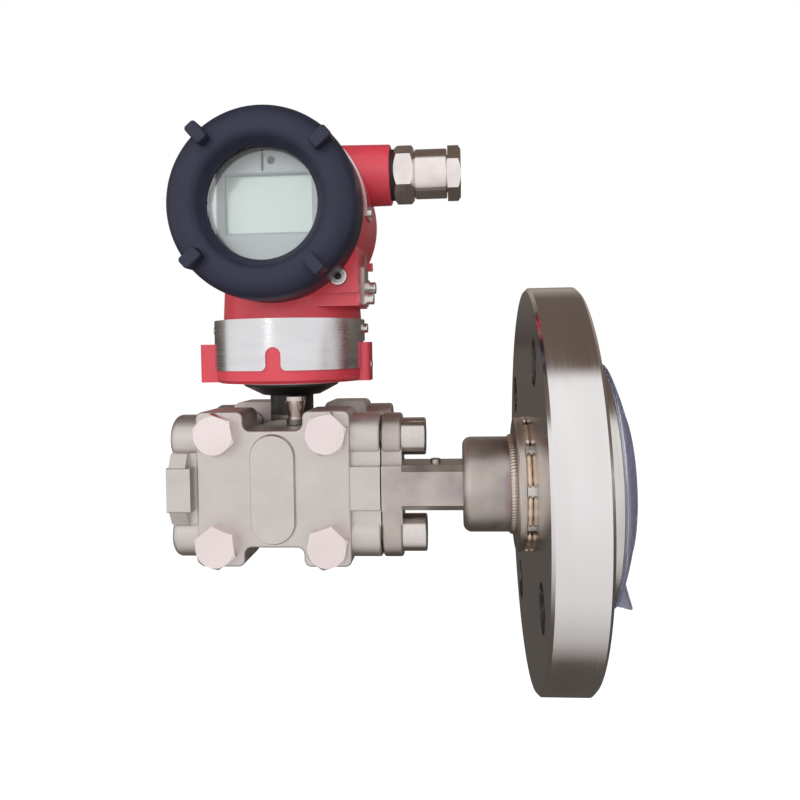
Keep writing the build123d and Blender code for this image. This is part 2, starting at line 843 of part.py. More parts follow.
# Electronics housing: one casting with collar, saddle, barrel, dividing wall, conduit entries and side block
block_front_y = barrel_front_y + block_front_set
screw_x = body_x + zero_dx
screw_z = head_z + zero_rise
plate_x = body_x + block_right
neck_sides = (facing_process(body_x, y=head_y), facing_left(body_x, y=head_y))
lug_reaches = (lug_span / 2 + lug_shift, lug_span / 2 - lug_shift)
entry_sides = (facing_process(body_x, y=entry_y, z=entry_z), facing_left(body_x, y=entry_y, z=entry_z))
rivet_y = barrel_front_y + strap_set + strap_w / 2
strap_sides = (facing_process(body_x, y=rivet_y, z=head_z), facing_left(body_x, y=rivet_y, z=head_z))
cover_rooms = (
    (facing_viewer(barrel_front_y), cover_d / 2 + air),
    (facing_back(barrel_back_y), back_cover_d / 2 + air),
)
with BuildPart() as housing:
    with BuildSketch(facing_up(collar_z)):
        Circle(collar_d / 2)
    extrude(amount=collar_h)
    chamfer(housing.edges().group_by(Axis.Z)[0], collar_edge)
    with BuildSketch(facing_up(collar_z, x=body_x + lug_shift)):
        RectangleRounded(lug_span, lug_w, lug_round)
    extrude(amount=lug_h)
    with BuildSketch(facing_up(collar_top, x=body_x + saddle_shift)):
        Circle(saddle_d / 2)
    extrude(amount=barrel_rise, taper=saddle_draft)
    with BuildSketch(facing_viewer(block_front_y)):
        Polygon((block_left, block_lip), (block_right, block_lip), (block_right, block_top),
                (block_left, block_top), align=None)
    extrude(amount=-block_back_set)
    with BuildSketch(facing_viewer(barrel_front_y + block_lip_set)):
        Polygon((block_left, block_bottom), (block_right, block_bottom), (block_right, block_top),
                (block_left, block_top), align=None)
    extrude(amount=block_lip_set - block_front_set - block_back_set)
    with BuildSketch(facing_process(plate_x, y=block_front_y + block_back_set, z=head_z + seal_ear_top)):
        Rectangle(seal_ear_t, seal_ear_h, align=(Align.MAX, Align.MAX))
    extrude(amount=seal_ear_reach)
    with BuildSketch(facing_viewer(barrel_front_y)):
        Circle(barrel_d / 2)
    extrude(amount=-barrel_front - barrel_back)
    for side in entry_sides:
        with BuildSketch(side.offset(entry_reach)):
            Circle(entry_d / 2)
        extrude(amount=-entry_reach, taper=-entry_draft)
    entry_rims = housing.edges().filter_by(GeomType.CIRCLE).filter_by(
        lambda rim: abs(abs(rim.center().X - body_x) - entry_reach) < slip)
    fillet(entry_rims, entry_edge)
    for face, room_r in cover_rooms:
        with BuildSketch(face):
            Circle(room_r)
        extrude(amount=2 * barrel_back, mode=Mode.SUBTRACT)
    with BuildSketch(facing_viewer(barrel_front_y)):
        Circle(front_spigot_d / 2)
    extrude(amount=spigot_len)
    with BuildSketch(facing_back(barrel_back_y)):
        Circle(back_spigot_d / 2)
    extrude(amount=spigot_len)
    with Locations(facing_viewer(spigot_front_y)):
        Hole(front_bore_d / 2, depth=wall_set)
    with Locations(facing_back(spigot_back_y)):
        Hole(back_bore_d / 2, depth=spigot_back_y - wall_back_y)
    for side in entry_sides:
        with Locations(side.offset(entry_reach)):
            Hole(entry_bore_d / 2 + slip, depth=entry_bore_len)
    with BuildSketch(facing_up(collar_z)):
        Circle(socket_r + slip)
    extrude(amount=socket_top - collar_z + socket_roof, mode=Mode.SUBTRACT)
    with BuildSketch(facing_up(socket_top)):
        Circle(wire_hole_d / 2)
    extrude(amount=head_z - back_bore_d / 2 + 2 - socket_top, mode=Mode.SUBTRACT)
    for side, reach in zip(neck_sides, lug_reaches):
        with Locations(side.offset(reach)):
            with Locations((0, collar_z + set_screw_rise)):
                Hole(set_screw_d / 2 + slip, depth=reach - socket_r)
        with Locations(side.offset(collar_d / 2)):
            with Locations((0, collar_top - band_screw_drop)):
                Hole(band_screw_shank_d / 2 + slip, depth=band_screw_shank_len)
    for side in strap_sides:
        with Locations(side.offset(barrel_d / 2)):
            Hole(rivet_shank_d / 2 + slip, depth=rivet_shank_len)
    with Locations(facing_viewer(block_front_y, x=screw_x, z=screw_z)):
        Hole(zero_shank_d / 2 + slip, depth=zero_shank_len + 1)
    with BuildSketch(facing_viewer(block_front_y, x=screw_x, z=screw_z)):
        Circle(zero_head_d / 2 + 2 * air)
    extrude(amount=spigot_len, mode=Mode.SUBTRACT)
    for y, rise in earth_screws_at:
        with Locations(facing_process(plate_x, y=y, z=head_z + rise)):
            Hole(earth_shank_d / 2 + slip, depth=earth_shank_len)
housing.part.label = "electronics_housing"
export_step(housing.part, "parts/electronics_housing.step")

# Steel band round the front of the collar, with a notch at its lower edge and clear of the side lugs
band_r = collar_d / 2 + band_gap
band_start = radians(270 - band_arc / 2)
band_foot = collar_top - band_h
with BuildPart() as collar_band:
    with BuildSketch(Plane(origin=(body_x, head_y, 0), x_dir=(cos(band_start), sin(band_start), 0),
                           z_dir=(sin(band_start), -cos(band_start), 0))):
        Polygon((band_r, band_foot), (band_r + band_t, band_foot), (band_r + band_t, collar_top),
                (band_r, collar_top), align=None)
    revolve(axis=neck_axis, revolution_arc=band_arc)
    with BuildSketch(facing_up(collar_z, x=body_x + lug_shift)):
        RectangleRounded(lug_span + 4 * air, lug_w + 4 * air, lug_round)
    extrude(amount=lug_h + 2 * air, mode=Mode.SUBTRACT)
    with BuildSketch(facing_viewer(head_y - collar_d / 4, z=band_foot)) as notch:
        Rectangle(band_notch_w, band_notch_h - band_notch_w / 2, align=(Align.CENTER, Align.MIN))
        Rectangle(3 * band_notch_w, band_notch_w, align=(Align.CENTER, Align.MAX))
        fillet(notch.vertices().filter_by(lambda corner: abs(corner.Y) < slip and abs(corner.X) < band_notch_w),
               band_notch_flare)
        with Locations((0, band_notch_h - band_notch_w / 2)):
            Circle(band_notch_w / 2)
    extrude(amount=collar_d / 2, mode=Mode.SUBTRACT)
    for side in neck_sides:
        with Locations(side.offset(lug_span / 2)):
            with Locations((0, collar_top - band_screw_drop)):
                Hole(band_screw_shank_d / 2 + slip, depth=lug_span / 4)
collar_band.part.label = "collar_band"
export_step(collar_band.part, "parts/collar_band.step")

# Screws that hold the band
band_screw = round_screw(band_screw_d, band_screw_h, band_screw_shank_d, band_screw_shank_len, 1.5, 0.5)
with BuildPart() as band_screws:
    for side in neck_sides:
        with Locations(side.offset(band_r + band_t)):
            with Locations((0, collar_top - band_screw_drop)):
                add(band_screw)
band_screws.part.label = "band_screws"
export_step(band_screws.part, "parts/band_screws.step")

# Set screws in the collar's lugs that lock the head on its neck
with BuildPart() as set_screws:
    for side, reach in zip(neck_sides, lug_reaches):
        with BuildSketch(side.offset(socket_r + 2 * air)):
            with Locations((0, collar_z + set_screw_rise)):
                Circle(set_screw_d / 2)
        extrude(amount=reach + set_screw_proud - socket_r - 2 * air)
        with BuildSketch(side.offset(reach + set_screw_proud)):
            with Locations((0, collar_z + set_screw_rise)):
                RegularPolygon(set_screw_d / 4, 6, major_radius=False)
        extrude(amount=-set_screw_d / 2, mode=Mode.SUBTRACT)
set_screws.part.label = "collar_set_screws"
export_step(set_screws.part, "parts/collar_set_screws.step")

# Nameplate strap bent over the top of the barrel
strap_r = barrel_d / 2 + slip
strap_start = radians(90 + strap_arc / 2)
strap_y = barrel_front_y + strap_set
with BuildPart() as nameplate_strap:
    with BuildSketch(Plane(origin=(body_x, 0, head_z), x_dir=(0, 1, 0),
                           z_dir=(sin(strap_start), 0, -cos(strap_start)))):
        Polygon((strap_y, strap_r), (strap_y + strap_w, strap_r), (strap_y + strap_w, strap_r + strap_t),
                (strap_y, strap_r + strap_t), align=None)
    revolve(axis=barrel_axis, revolution_arc=strap_arc)
    for side in strap_sides:
        with Locations(side.offset(barrel_d)):
            Hole(rivet_shank_d / 2 + slip, depth=barrel_d)
nameplate_strap.part.label = "nameplate_strap"
export_step(nameplate_strap.part, "parts/nameplate_strap.step")

# Screws at the strap's ends
strap_screw = round_screw(rivet_d, rivet_h, rivet_shank_d, rivet_shank_len, 1.3, 0.4)
with BuildPart() as strap_screws:
    for side in strap_sides:
        with Locations(side.offset(strap_r + strap_t)):
            add(strap_screw)
strap_screws.part.label = "nameplate_screws"
export_step(strap_screws.part, "parts/nameplate_screws.step")

# Zero adjustment screw in the side block
with BuildPart() as zero_screw:
    with Locations(facing_viewer(block_front_y, x=screw_x, z=screw_z)):
        add(round_screw(zero_head_d, zero_head_h, zero_shank_d, zero_shank_len, zero_key, 0.6))
zero_screw.part.label = "zero_adjust_screw"
export_step(zero_screw.part, "parts/zero_adjust_screw.step")

# Earth plate on the block's flat side, sloping to a point at the top
with BuildPart() as earth_bracket:
    with BuildSketch(facing_process(plate_x, y=earth_plate_y, z=head_z)):
        Polygon(
            (-earth_plate_w / 2, earth_plate_bottom),
            (earth_plate_w / 2, earth_plate_bottom),
            (earth_plate_w / 2, earth_plate_top - earth_plate_slope),
            (0, earth_plate_top),
            (-earth_plate_w / 2, earth_plate_top - earth_plate_slope),
            align=None,
        )
        fillet(vertices(), 1.5)
        with Locations(*[(y - earth_plate_y, rise) for y, rise in earth_screws_at]):
            Circle(earth_shank_d / 2 + slip, mode=Mode.SUBTRACT)
    extrude(amount=earth_plate_t)
earth_bracket.part.label = "earth_bracket"
export_step(earth_bracket.part, "parts/earth_bracket.step")

# Earth screws with their washers
earth_stack = round_screw(earth_screw_d, earth_screw_h, earth_shank_d, earth_shank_len, 2.5, 0.6)
with BuildPart() as earth_screws:
    for y, rise in earth_screws_at:
        with BuildSketch(facing_process(plate_x + earth_plate_t, y=y, z=head_z + rise)):
            Circle(earth_washer_d / 2)
        extrude(amount=earth_washer_t)
        with Locations(facing_process(plate_x + earth_plate_t + earth_washer_t, y=y, z=head_z + rise)):
            add(earth_stack)
earth_screws.part.label = "earth_screws"
export_step(earth_screws.part, "parts/earth_screws.step")

# Front cover: screwed ring with a bevelled window, a seat for the glass and four grip lugs
cover_r = cover_d / 2
front_fit_r = front_spigot_d / 2 + slip
lip_y = cover_front_y + bevel_depth + lip_t
seat_end_y = lip_y + glass_t + ring_t + seat_spare
seat_r = glass_d / 2 + slip
roof_y = cover_front_y + roof_set
ring_groove_y = barrel_front_y - air - o_ring_room
with BuildPart() as front_cover:
    add(barrel_profile(
        (cover_back_y, cover_r),
        (cover_front_y, cover_r),
        (cover_front_y, ring_inner_d / 2),
        (cover_front_y + bevel_depth, window_d / 2),
        (lip_y, window_d / 2),
        (lip_y, seat_r),
        (seat_end_y, seat_r),
        (seat_end_y, seat_r + seat_wall),
        (roof_y, seat_r + seat_wall),
        (roof_y, front_fit_r),
        (ring_groove_y, front_fit_r),
        (ring_groove_y, front_spigot_d / 2 + o_ring_room),
        (cover_back_y, front_spigot_d / 2 + o_ring_room),
    ))
    outer_edge = front_cover.edges().filter_by(GeomType.CIRCLE).group_by(Axis.Y)[0].group_by(SortBy.RADIUS)[-1]
    fillet(outer_edge, cover_round)
    crease = front_cover.edges().filter_by(GeomType.CIRCLE).group_by(Axis.Y)[0].group_by(SortBy.RADIUS)[0]
    fillet(crease, cover_crease)
    with BuildSketch(facing_viewer(cover_front_y + 0.8 * cover_round)):
        with PolarLocations(cover_lug_r, cover_lug_count, start_angle=cover_lug_turn):
            RectangleRounded(cover_lug_len, cover_lug_w, cover_lug_round)
    extrude(amount=0.8 * cover_round + cover_lug_h)
    fillet(front_cover.faces().group_by(Axis.Y)[0].edges(), cover_lug_edge)
front_cover.part.label = "front_cover"
export_step(front_cover.part, "parts/front_cover.step")

# Window glass against the cover's lip
with BuildPart() as window_glass:
    with BuildSketch(facing_back(lip_y)):
        Circle(glass_d / 2)
    extrude(amount=glass_t)
    chamfer(window_glass.edges().filter_by(GeomType.CIRCLE), 0.3)
window_glass.part.label = "window_glass"
export_step(window_glass.part, "parts/window_glass.step")

# Threaded ring that holds the glass, with two spanner notches
with BuildPart() as glass_ring:
    with BuildSketch(facing_back(lip_y + glass_t)):
        Circle(glass_d / 2)
        Circle(ring_hole_d / 2, mode=Mode.SUBTRACT)
        with PolarLocations(ring_hole_d / 2, 2):
            Rectangle(2, 3, mode=Mode.SUBTRACT)
    extrude(amount=ring_t)
glass_ring.part.label = "glass_ring"
export_step(glass_ring.part, "parts/glass_ring.step")

# Cover seals: one ring in each cover's open groove
for seal_name, spigot_d, groove_middle in (
    ("front_cover_o_ring", front_spigot_d, barrel_front_y - (air + o_ring_room) / 2),
    ("rear_cover_o_ring", back_spigot_d, barrel_back_y + (air + o_ring_room) / 2),
):
    with BuildPart() as cover_seal:
        with BuildSketch(Plane.YZ.offset(body_x)):
            with Locations((groove_middle, head_z + spigot_d / 2 + o_ring_room / 2)):
                Circle(o_ring_w / 2)
        revolve(axis=barrel_axis)
    cover_seal.part.label = seal_name
    export_step(cover_seal.part, f"parts/{seal_name}.step")

# Blind rear cover
back_cover_y = barrel_back_y + air
back_end_y = back_cover_y + back_cover_len
back_fit_r = back_spigot_d / 2 + slip
with BuildPart() as rear_cover:
    add(barrel_profile(
        (back_cover_y, back_cover_d / 2),
        (back_end_y, back_cover_d / 2),
        (back_end_y, 0),
        (back_end_y - back_cover_wall, 0),
        (back_end_y - back_cover_wall, back_fit_r - 3),
        (spigot_back_y + 1, back_fit_r),
        (back_cover_y + o_ring_room, back_fit_r),
        (back_cover_y + o_ring_room, back_spigot_d / 2 + o_ring_room),
        (back_cover_y, back_spigot_d / 2 + o_ring_room),
    ))
    fillet(rear_cover.edges().filter_by(GeomType.CIRCLE).group_by(Axis.Y)[-1], back_cover_round)
    with BuildSketch(facing_back(back_end_y)):
        with PolarLocations(back_lug_r, cover_lug_count, start_angle=45):
            RectangleRounded(cover_lug_len, cover_lug_w, cover_lug_round)
    extrude(amount=cover_lug_h)
    fillet(rear_cover.faces().group_by(Axis.Y)[-1].edges(), cover_lug_edge)
rear_cover.part.label = "rear_cover"
export_step(rear_cover.part, "parts/rear_cover.step")

# Display bezel: cup that frames the screen and closes onto the display board
bezel_y = spigot_front_y + bezel_set
board_y = bezel_y + bezel_t + screen_t
slot_start = screen_rise + screen_h / 2 + bezel_slot_w
with BuildPart() as display_bezel:
    with BuildSketch(facing_back(bezel_y)):
        Circle(bezel_d / 2)
    extrude(amount=bezel_t + screen_t)
    with BuildSketch(facing_back(bezel_y + bezel_t)):
        Circle(bezel_d / 2 - bezel_wall)
    extrude(amount=screen_t, mode=Mode.SUBTRACT)
    with BuildSketch(facing_back(bezel_y)):
        with Locations((0, screen_rise)):
            Rectangle(screen_w, screen_h)
        with Locations((bezel_slot_dx, slot_start + bezel_slot_len / 2)):
            SlotOverall(bezel_slot_len, bezel_slot_w, rotation=90)
        with Locations((bezel_slot_dx - bezel_slot_w / 2 - bezel_key_gap - bezel_key_d / 2,
                        slot_start + bezel_slot_len / 2)):
            Circle(bezel_key_d / 2)
    extrude(amount=bezel_t, mode=Mode.SUBTRACT)
    opening = display_bezel.faces().sort_by(Axis.Y)[0].inner_wires()
    chamfer(opening.sort_by(lambda wire: wire.length)[-1].edges(), 0.8)
display_bezel.part.label = "display_bezel"
export_step(display_bezel.part, "parts/display_bezel.step")

# Liquid crystal panel behind the bezel
with BuildPart() as lcd_panel:
    with BuildSketch(facing_back(bezel_y + bezel_t)):
        with Locations((0, screen_rise)):
            Rectangle(screen_w + 2 * screen_rim, screen_h + 2 * screen_rim)
    extrude(amount=screen_t)
    chamfer(lcd_panel.edges().filter_by(Axis.Y), 0.6)
lcd_panel.part.label = "lcd_panel"
export_step(lcd_panel.part, "parts/lcd_panel.step")

# Display board behind the bezel
with BuildPart() as display_board:
    with BuildSketch(facing_back(board_y)):
        Circle(display_board_d / 2)
    extrude(amount=board_t)
display_board.part.label = "display_board"
export_step(display_board.part, "parts/display_board.step")

# Main board half way to the dividing wall, threaded over the posts
main_board_y = spigot_front_y + main_board_set
with BuildPart() as main_board:
    with BuildSketch(facing_back(main_board_y)):
        Circle(main_board_d / 2)
        with PolarLocations(post_circle_d / 2, post_count, start_angle=90):
            Circle(post_d / 2 + slip, mode=Mode.SUBTRACT)
    extrude(amount=board_t)
main_board.part.label = "main_board"
export_step(main_board.part, "parts/main_board.step")

# Posts from the display board to the dividing wall
with BuildPart() as board_posts:
    with BuildSketch(facing_back(board_y + board_t)):
        with PolarLocations(post_circle_d / 2, post_count, start_angle=90):
            Circle(post_d / 2)
    extrude(amount=wall_front_y - board_y - board_t)
board_posts.part.label = "board_standoffs"
export_step(board_posts.part, "parts/board_standoffs.step")

# Terminal block on the wall of the rear chamber, with one slot per wire
terminal_face_y = wall_back_y + terminal_t
terminal_places = [
    ((index - (terminal_count - 1) / 2) * terminal_pitch, -terminal_drop) for index in range(terminal_count)
]
with BuildPart() as terminal_block:
    with BuildSketch(facing_back(wall_back_y)):
        with Locations((0, -terminal_drop)):
            RectangleRounded(terminal_w, terminal_h, 2)
    extrude(amount=terminal_t)
    with BuildSketch(facing_back(terminal_face_y)):
        with Locations(*terminal_places):
            Rectangle(terminal_slot_w, terminal_h * 0.75)
    extrude(amount=-terminal_slot_t, mode=Mode.SUBTRACT)
    with Locations(facing_back(terminal_face_y - terminal_slot_t)):
        with Locations(*terminal_places):
            Hole(terminal_shank_d / 2 + slip, depth=terminal_shank_len)
terminal_block.part.label = "terminal_block"
export_step(terminal_block.part, "parts/terminal_block.step")

# Terminal screws in the slots
terminal_screw = round_screw(terminal_screw_d, terminal_screw_h, terminal_shank_d, terminal_shank_len, 2.5, 0.5)
with BuildPart() as terminal_screws:
    with Locations(facing_back(terminal_face_y - terminal_slot_t)):
        with Locations(*terminal_places):
            add(terminal_screw)
terminal_screws.part.label = "terminal_screws"
export_step(terminal_screws.part, "parts/terminal_screws.step")

# Gland washer on the right conduit entry
entry_x = body_x + entry_reach
gland_x = entry_x + gland_washer_t
with BuildPart() as gland_gasket:
    with BuildSketch(facing_process(entry_x, y=entry_y, z=entry_z)):
        Circle(gland_washer_d / 2)
        Circle(entry_bore_d / 2 + slip, mode=Mode.SUBTRACT)
    extrude(amount=gland_washer_t)
gland_gasket.part.label = "gland_gasket"
export_step(gland_gasket.part, "parts/gland_gasket.step")

# Gland body: thread, hexagon and long barrel with a counterbored mouth
hex_end = gland_x + gland_hex_len
mouth_x = hex_end + gland_body_len
with BuildPart() as gland_body:
    with Locations(facing_process(gland_x, y=entry_y, z=entry_z)):
        add(hex_block(gland_across, gland_hex_len, both_ends=True), rotation=(0, 0, 90))
    add(entry_profile(
        (entry_x - gland_thread_len, 0),
        (entry_x - gland_thread_len, entry_bore_d / 2 - 0.8),
        (entry_x - gland_thread_len + 0.8, entry_bore_d / 2),
        (gland_x + 1, entry_bore_d / 2),
        (hex_end - 1, gland_body_d / 2 - 1),
        (hex_end, gland_body_d / 2 - 1),
        (hex_end + 1, gland_body_d / 2),
        (mouth_x - 0.5, gland_body_d / 2),
        (mouth_x, gland_body_d / 2 - 0.5),
        (mouth_x, 0),
    ))
    with Locations(facing_process(mouth_x, y=entry_y, z=entry_z)):
        Hole(gland_mouth_d / 2, depth=gland_mouth_len)
        Hole(gland_bore_d / 2)
gland_body.part.label = "gland_body"
export_step(gland_body.part, "parts/gland_body.step")

# Rubber insert at the bottom of the mouth
insert_x = mouth_x - gland_mouth_len
with BuildPart() as gland_insert:
    with BuildSketch(facing_process(insert_x, y=entry_y, z=entry_z)):
        Circle(gland_mouth_d / 2 - slip)
        Circle(cable_hole_d / 2, mode=Mode.SUBTRACT)
    extrude(amount=insert_len)
gland_insert.part.label = "gland_insert"
export_step(gland_insert.part, "parts/gland_insert.step")

# Pressure ring between the insert and the gland nut
nut_x = mouth_x + air
nut_tip_x = nut_x - nut_spigot_len
with BuildPart() as gland_ring:
    with BuildSketch(facing_process(insert_x + insert_len, y=entry_y, z=entry_z)):
        Circle(gland_mouth_d / 2 - slip)
        Circle(nut_bore_d / 2, mode=Mode.SUBTRACT)
    extrude(amount=nut_tip_x - insert_x - insert_len)
gland_ring.part.label = "gland_ring"
export_step(gland_ring.part, "parts/gland_ring.step")

# Gland nut: hexagon outside, screwed spigot inside the mouth
with BuildPart() as gland_nut:
    with Locations(facing_process(nut_x, y=entry_y, z=entry_z)):
        add(hex_block(nut_across, nut_hex_len), rotation=(0, 0, 90 + nut_turn))
    with BuildSketch(facing_process(nut_tip_x, y=entry_y, z=entry_z)):
        Circle(gland_mouth_d / 2 - slip)
    extrude(amount=nut_spigot_len)
    with Locations(facing_process(nut_x + nut_hex_len, y=entry_y, z=entry_z)):
        Hole(nut_bore_d / 2)
gland_nut.part.label = "gland_nut"
export_step(gland_nut.part, "parts/gland_nut.step")

# Blanking plug in the left conduit entry
with BuildPart() as blanking_plug:
    with Locations(facing_left(body_x - entry_reach, y=entry_y, z=entry_z)):
        add(round_screw(plug_head_d, plug_head_t, entry_bore_d, gland_thread_len, plug_key, 0.8))
blanking_plug.part.label = "blanking_plug"
export_step(blanking_plug.part, "parts/blanking_plug.step")


def dome_x(r, top_x, edge_x, edge_r):
    """Place of the dome's circular arc at radius r, from its top and its edge."""
    rise = top_x - edge_x
    sphere = (rise ** 2 + edge_r ** 2) / (2 * rise)
    return top_x - sphere + sqrt(sphere ** 2 - r ** 2)


# Protective cap: thin dome on a foot ring, with an inner ring that grips the recess and a pull tab
cap_x = seal_face_t + slip
shoulder_x = cap_x + cap_foot_h
cap_top_x = cap_x + cap_rise
cap_r = seal_face_d / 2 - cap_set
inner_r = cap_r - cap_foot_w
inner_top_x = cap_top_x - cap_t
plug_r = seal_recess_d / 2 - cap_plug_gap
plug_start_x = seal_face_t - cap_plug_set
plug_end_x = dome_x(plug_r, cap_top_x, shoulder_x, cap_r) - cap_t / 2
tab_foot_r = cap_r - tab_foot_set
tab_foot_x = dome_x(tab_foot_r, cap_top_x, shoulder_x, cap_r) - 0.7 * cap_t
tab_tip_x = tab_foot_x + tab_lean
tab_tip_r = cap_r + tab_hang
with BuildPart() as protective_cap:
    with BuildSketch(Plane.XZ):
        with BuildLine():
            Polyline((cap_x, inner_r), (cap_x, cap_r), (shoulder_x, cap_r))
            ThreePointArc((shoulder_x, cap_r), (dome_x(cap_r / 2, cap_top_x, shoulder_x, cap_r), cap_r / 2),
                          (cap_top_x, 0))
            Line((cap_top_x, 0), (inner_top_x, 0))
            ThreePointArc((inner_top_x, 0), (dome_x(inner_r / 2, inner_top_x, shoulder_x, inner_r), inner_r / 2),
                          (shoulder_x, inner_r))
            Line((shoulder_x, inner_r), (cap_x, inner_r))
        make_face()
        Polygon((plug_start_x, plug_r - cap_plug_w), (plug_start_x, plug_r), (plug_end_x, plug_r),
                (plug_end_x, plug_r - cap_plug_w), align=None)
    revolve(axis=seal_axis)
    with BuildSketch(Plane.XZ):
        Polygon((tab_foot_x, -tab_foot_r), (tab_foot_x + tab_t, -tab_foot_r), (tab_tip_x + tab_t, -tab_tip_r),
                (tab_tip_x, -tab_tip_r), align=None)
    extrude(amount=tab_w / 2, both=True)
protective_cap.part.label = "protective_cap"
export_step(protective_cap.part, "parts/protective_cap.step")
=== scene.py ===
import math

import bmesh
import bpy
import numpy as np
from mathutils import Matrix, Vector


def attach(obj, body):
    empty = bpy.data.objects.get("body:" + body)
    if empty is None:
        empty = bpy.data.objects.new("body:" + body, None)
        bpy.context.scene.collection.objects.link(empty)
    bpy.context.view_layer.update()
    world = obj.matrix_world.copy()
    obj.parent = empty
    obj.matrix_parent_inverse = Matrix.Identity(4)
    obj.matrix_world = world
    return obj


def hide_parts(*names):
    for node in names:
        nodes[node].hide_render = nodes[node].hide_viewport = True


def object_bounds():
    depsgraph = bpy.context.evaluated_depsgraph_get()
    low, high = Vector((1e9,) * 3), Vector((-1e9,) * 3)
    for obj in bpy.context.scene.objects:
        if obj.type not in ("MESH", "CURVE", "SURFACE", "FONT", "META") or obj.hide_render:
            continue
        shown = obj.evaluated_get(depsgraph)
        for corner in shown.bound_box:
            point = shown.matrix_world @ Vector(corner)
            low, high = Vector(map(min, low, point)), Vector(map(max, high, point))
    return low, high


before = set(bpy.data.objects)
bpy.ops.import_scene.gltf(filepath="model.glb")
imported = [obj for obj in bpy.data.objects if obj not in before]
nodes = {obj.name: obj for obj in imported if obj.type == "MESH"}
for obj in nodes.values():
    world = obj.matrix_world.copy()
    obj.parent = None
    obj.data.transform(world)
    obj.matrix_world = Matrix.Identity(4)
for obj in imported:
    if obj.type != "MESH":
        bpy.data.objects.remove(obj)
cad_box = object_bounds()

# Where the viewer stands
# The photograph was taken from close by, level with the body, with the display turned to the camera.
# Turn, tilt and lean are small angles, and the shift only frames the object as the photograph does.
view_place = (-0.04884, -0.31043, 0.05826)
view_turn = math.radians(-3.94)
view_tilt = math.radians(0.98)
view_lean = math.radians(-0.98)
look = bpy.data.cameras.new("viewer")
look.sensor_width = 36
look.lens = 32.70
look.shift_x = -0.0080
look.shift_y = -0.0492
look.clip_start = 0.01
viewer = bpy.data.objects.new("viewer", look)
bpy.context.collection.objects.link(viewer)
to_view = (Matrix.Rotation(view_lean, 3, "Y") @ Matrix.Rotation(view_tilt, 3, "X")
           @ Matrix.Rotation(view_turn, 3, "Z"))
upright = Matrix.Rotation(math.radians(90), 3, "X")
viewer.matrix_world = Matrix.Translation(view_place) @ (to_view.transposed() @ upright).to_4x4()
bpy.context.scene.camera = viewer
bpy.context.scene.view_settings.view_transform = "Standard"


# The studio
# A wide soft key light in front, weak ones overhead and behind, and a narrow strip at the left, the only
# one that is mirrored. The metal mirrors the room: bright in front, brown overhead and behind, dark below.
def put(tree, kind, inputs=None, **settings):
    """Adds a shader node; inputs are plain values or the output sockets that feed it."""
    made = tree.nodes.new("ShaderNode" + kind)
    for name, value in settings.items():
        setattr(made, name, value)
    for name, value in (inputs or {}).items():
        if isinstance(value, bpy.types.NodeSocket):
            tree.links.new(value, made.inputs[name])
        else:
            made.inputs[name].default_value = value
    return made


def ramp(tree, source, *stops):
    """Colour ramp whose stops are (place, colour), fed by source; gives the colour."""
    made = put(tree, "ValToRGB", {0: source})
    band = made.color_ramp
    while len(band.elements) < len(stops):
        band.elements.new(0.5)
    for element, (place, colour) in zip(band.elements, stops):
        element.position = place
        element.color = (*colour, 1)
    return made.outputs[0]


def softbox(name, place, aim, wide, high, power, mirrored=False):
    """Rectangular light at place, facing aim."""
    lamp = bpy.data.lights.new(name, "AREA")
    lamp.shape = "RECTANGLE"
    lamp.size = wide
    lamp.size_y = high
    lamp.energy = power
    made = bpy.data.objects.new(name, lamp)
    bpy.context.collection.objects.link(made)
    facing = (Vector(aim) - Vector(place)).to_track_quat("-Z", "Y")
    made.matrix_world = Matrix.Translation(place) @ facing.to_matrix().to_4x4()
    made.visible_glossy = mirrored


softbox("front_softbox", (-0.34, -1.4, 0.32), (-0.09, 0, 0.03), 1.3, 1.1, 11.5)
softbox("left_strip", (-0.47, -0.95, 0.30), (-0.13, 0, 0.11), 0.03, 0.5, 0.22, mirrored=True)
softbox("top_softbox", (-0.2, -0.55, 1.3), (-0.1, 0, 0.05), 0.9, 0.5, 0.8)
softbox("back_light", (-0.7, 1.3, 0.8), (-0.08, 0, 0.03), 1.2, 1.0, 4)

room = bpy.data.worlds.new("room")
bpy.context.scene.world = room
room.use_nodes = True
room_tree = room.node_tree
room_tree.nodes.clear()
outlook = put(room_tree, "TexCoord")
outlook_parts = put(room_tree, "SeparateXYZ", {0: outlook.outputs["Generated"]})
front_reach = 0.2
to_front = put(room_tree, "Math", {0: front_reach, 1: outlook_parts.outputs["Y"]}, operation="SUBTRACT")
pitch = put(room_tree, "Math", {0: outlook_parts.outputs["Z"], 1: to_front.outputs[0]}, operation="ARCTAN2")
pitch_share = put(room_tree, "MapRange", {"Value": pitch.outputs[0], "From Min": -math.pi,
                                          "From Max": math.pi})
room_stops = (
    (-180, (0.10, 0.085, 0.075)),
    (-160, (0.09, 0.08, 0.07)),
    (-110, (0.09, 0.08, 0.07)),
    (-82, (0.10, 0.085, 0.075)),
    (-66, (0.55, 0.53, 0.51)),
    (-45, (0.82, 0.80, 0.80)),
    (0, (0.97, 0.95, 0.96)),
    (57, (1.0, 1.0, 1.0)),
    (64, (0.15, 0.11, 0.085)),
    (130, (0.15, 0.12, 0.10)),
    (152, (0.42, 0.36, 0.32)),
    (166, (0.26, 0.225, 0.20)),
    (180, (0.06, 0.05, 0.045)),
)
room_colour = ramp(room_tree, pitch_share.outputs[0],
                   *((angle / 360 + 0.5, colour) for angle, colour in room_stops))
eye_path = put(room_tree, "LightPath")
room_glow = put(room_tree, "Background", {"Color": room_colour, "Strength": 1.0})
white_beyond = put(room_tree, "Background", {"Color": (1, 1, 1, 1), "Strength": 1.0})
seen_through = put(room_tree, "Math", {0: eye_path.outputs["Is Camera Ray"],
                                       1: eye_path.outputs["Is Transmission Ray"]}, operation="MAXIMUM")
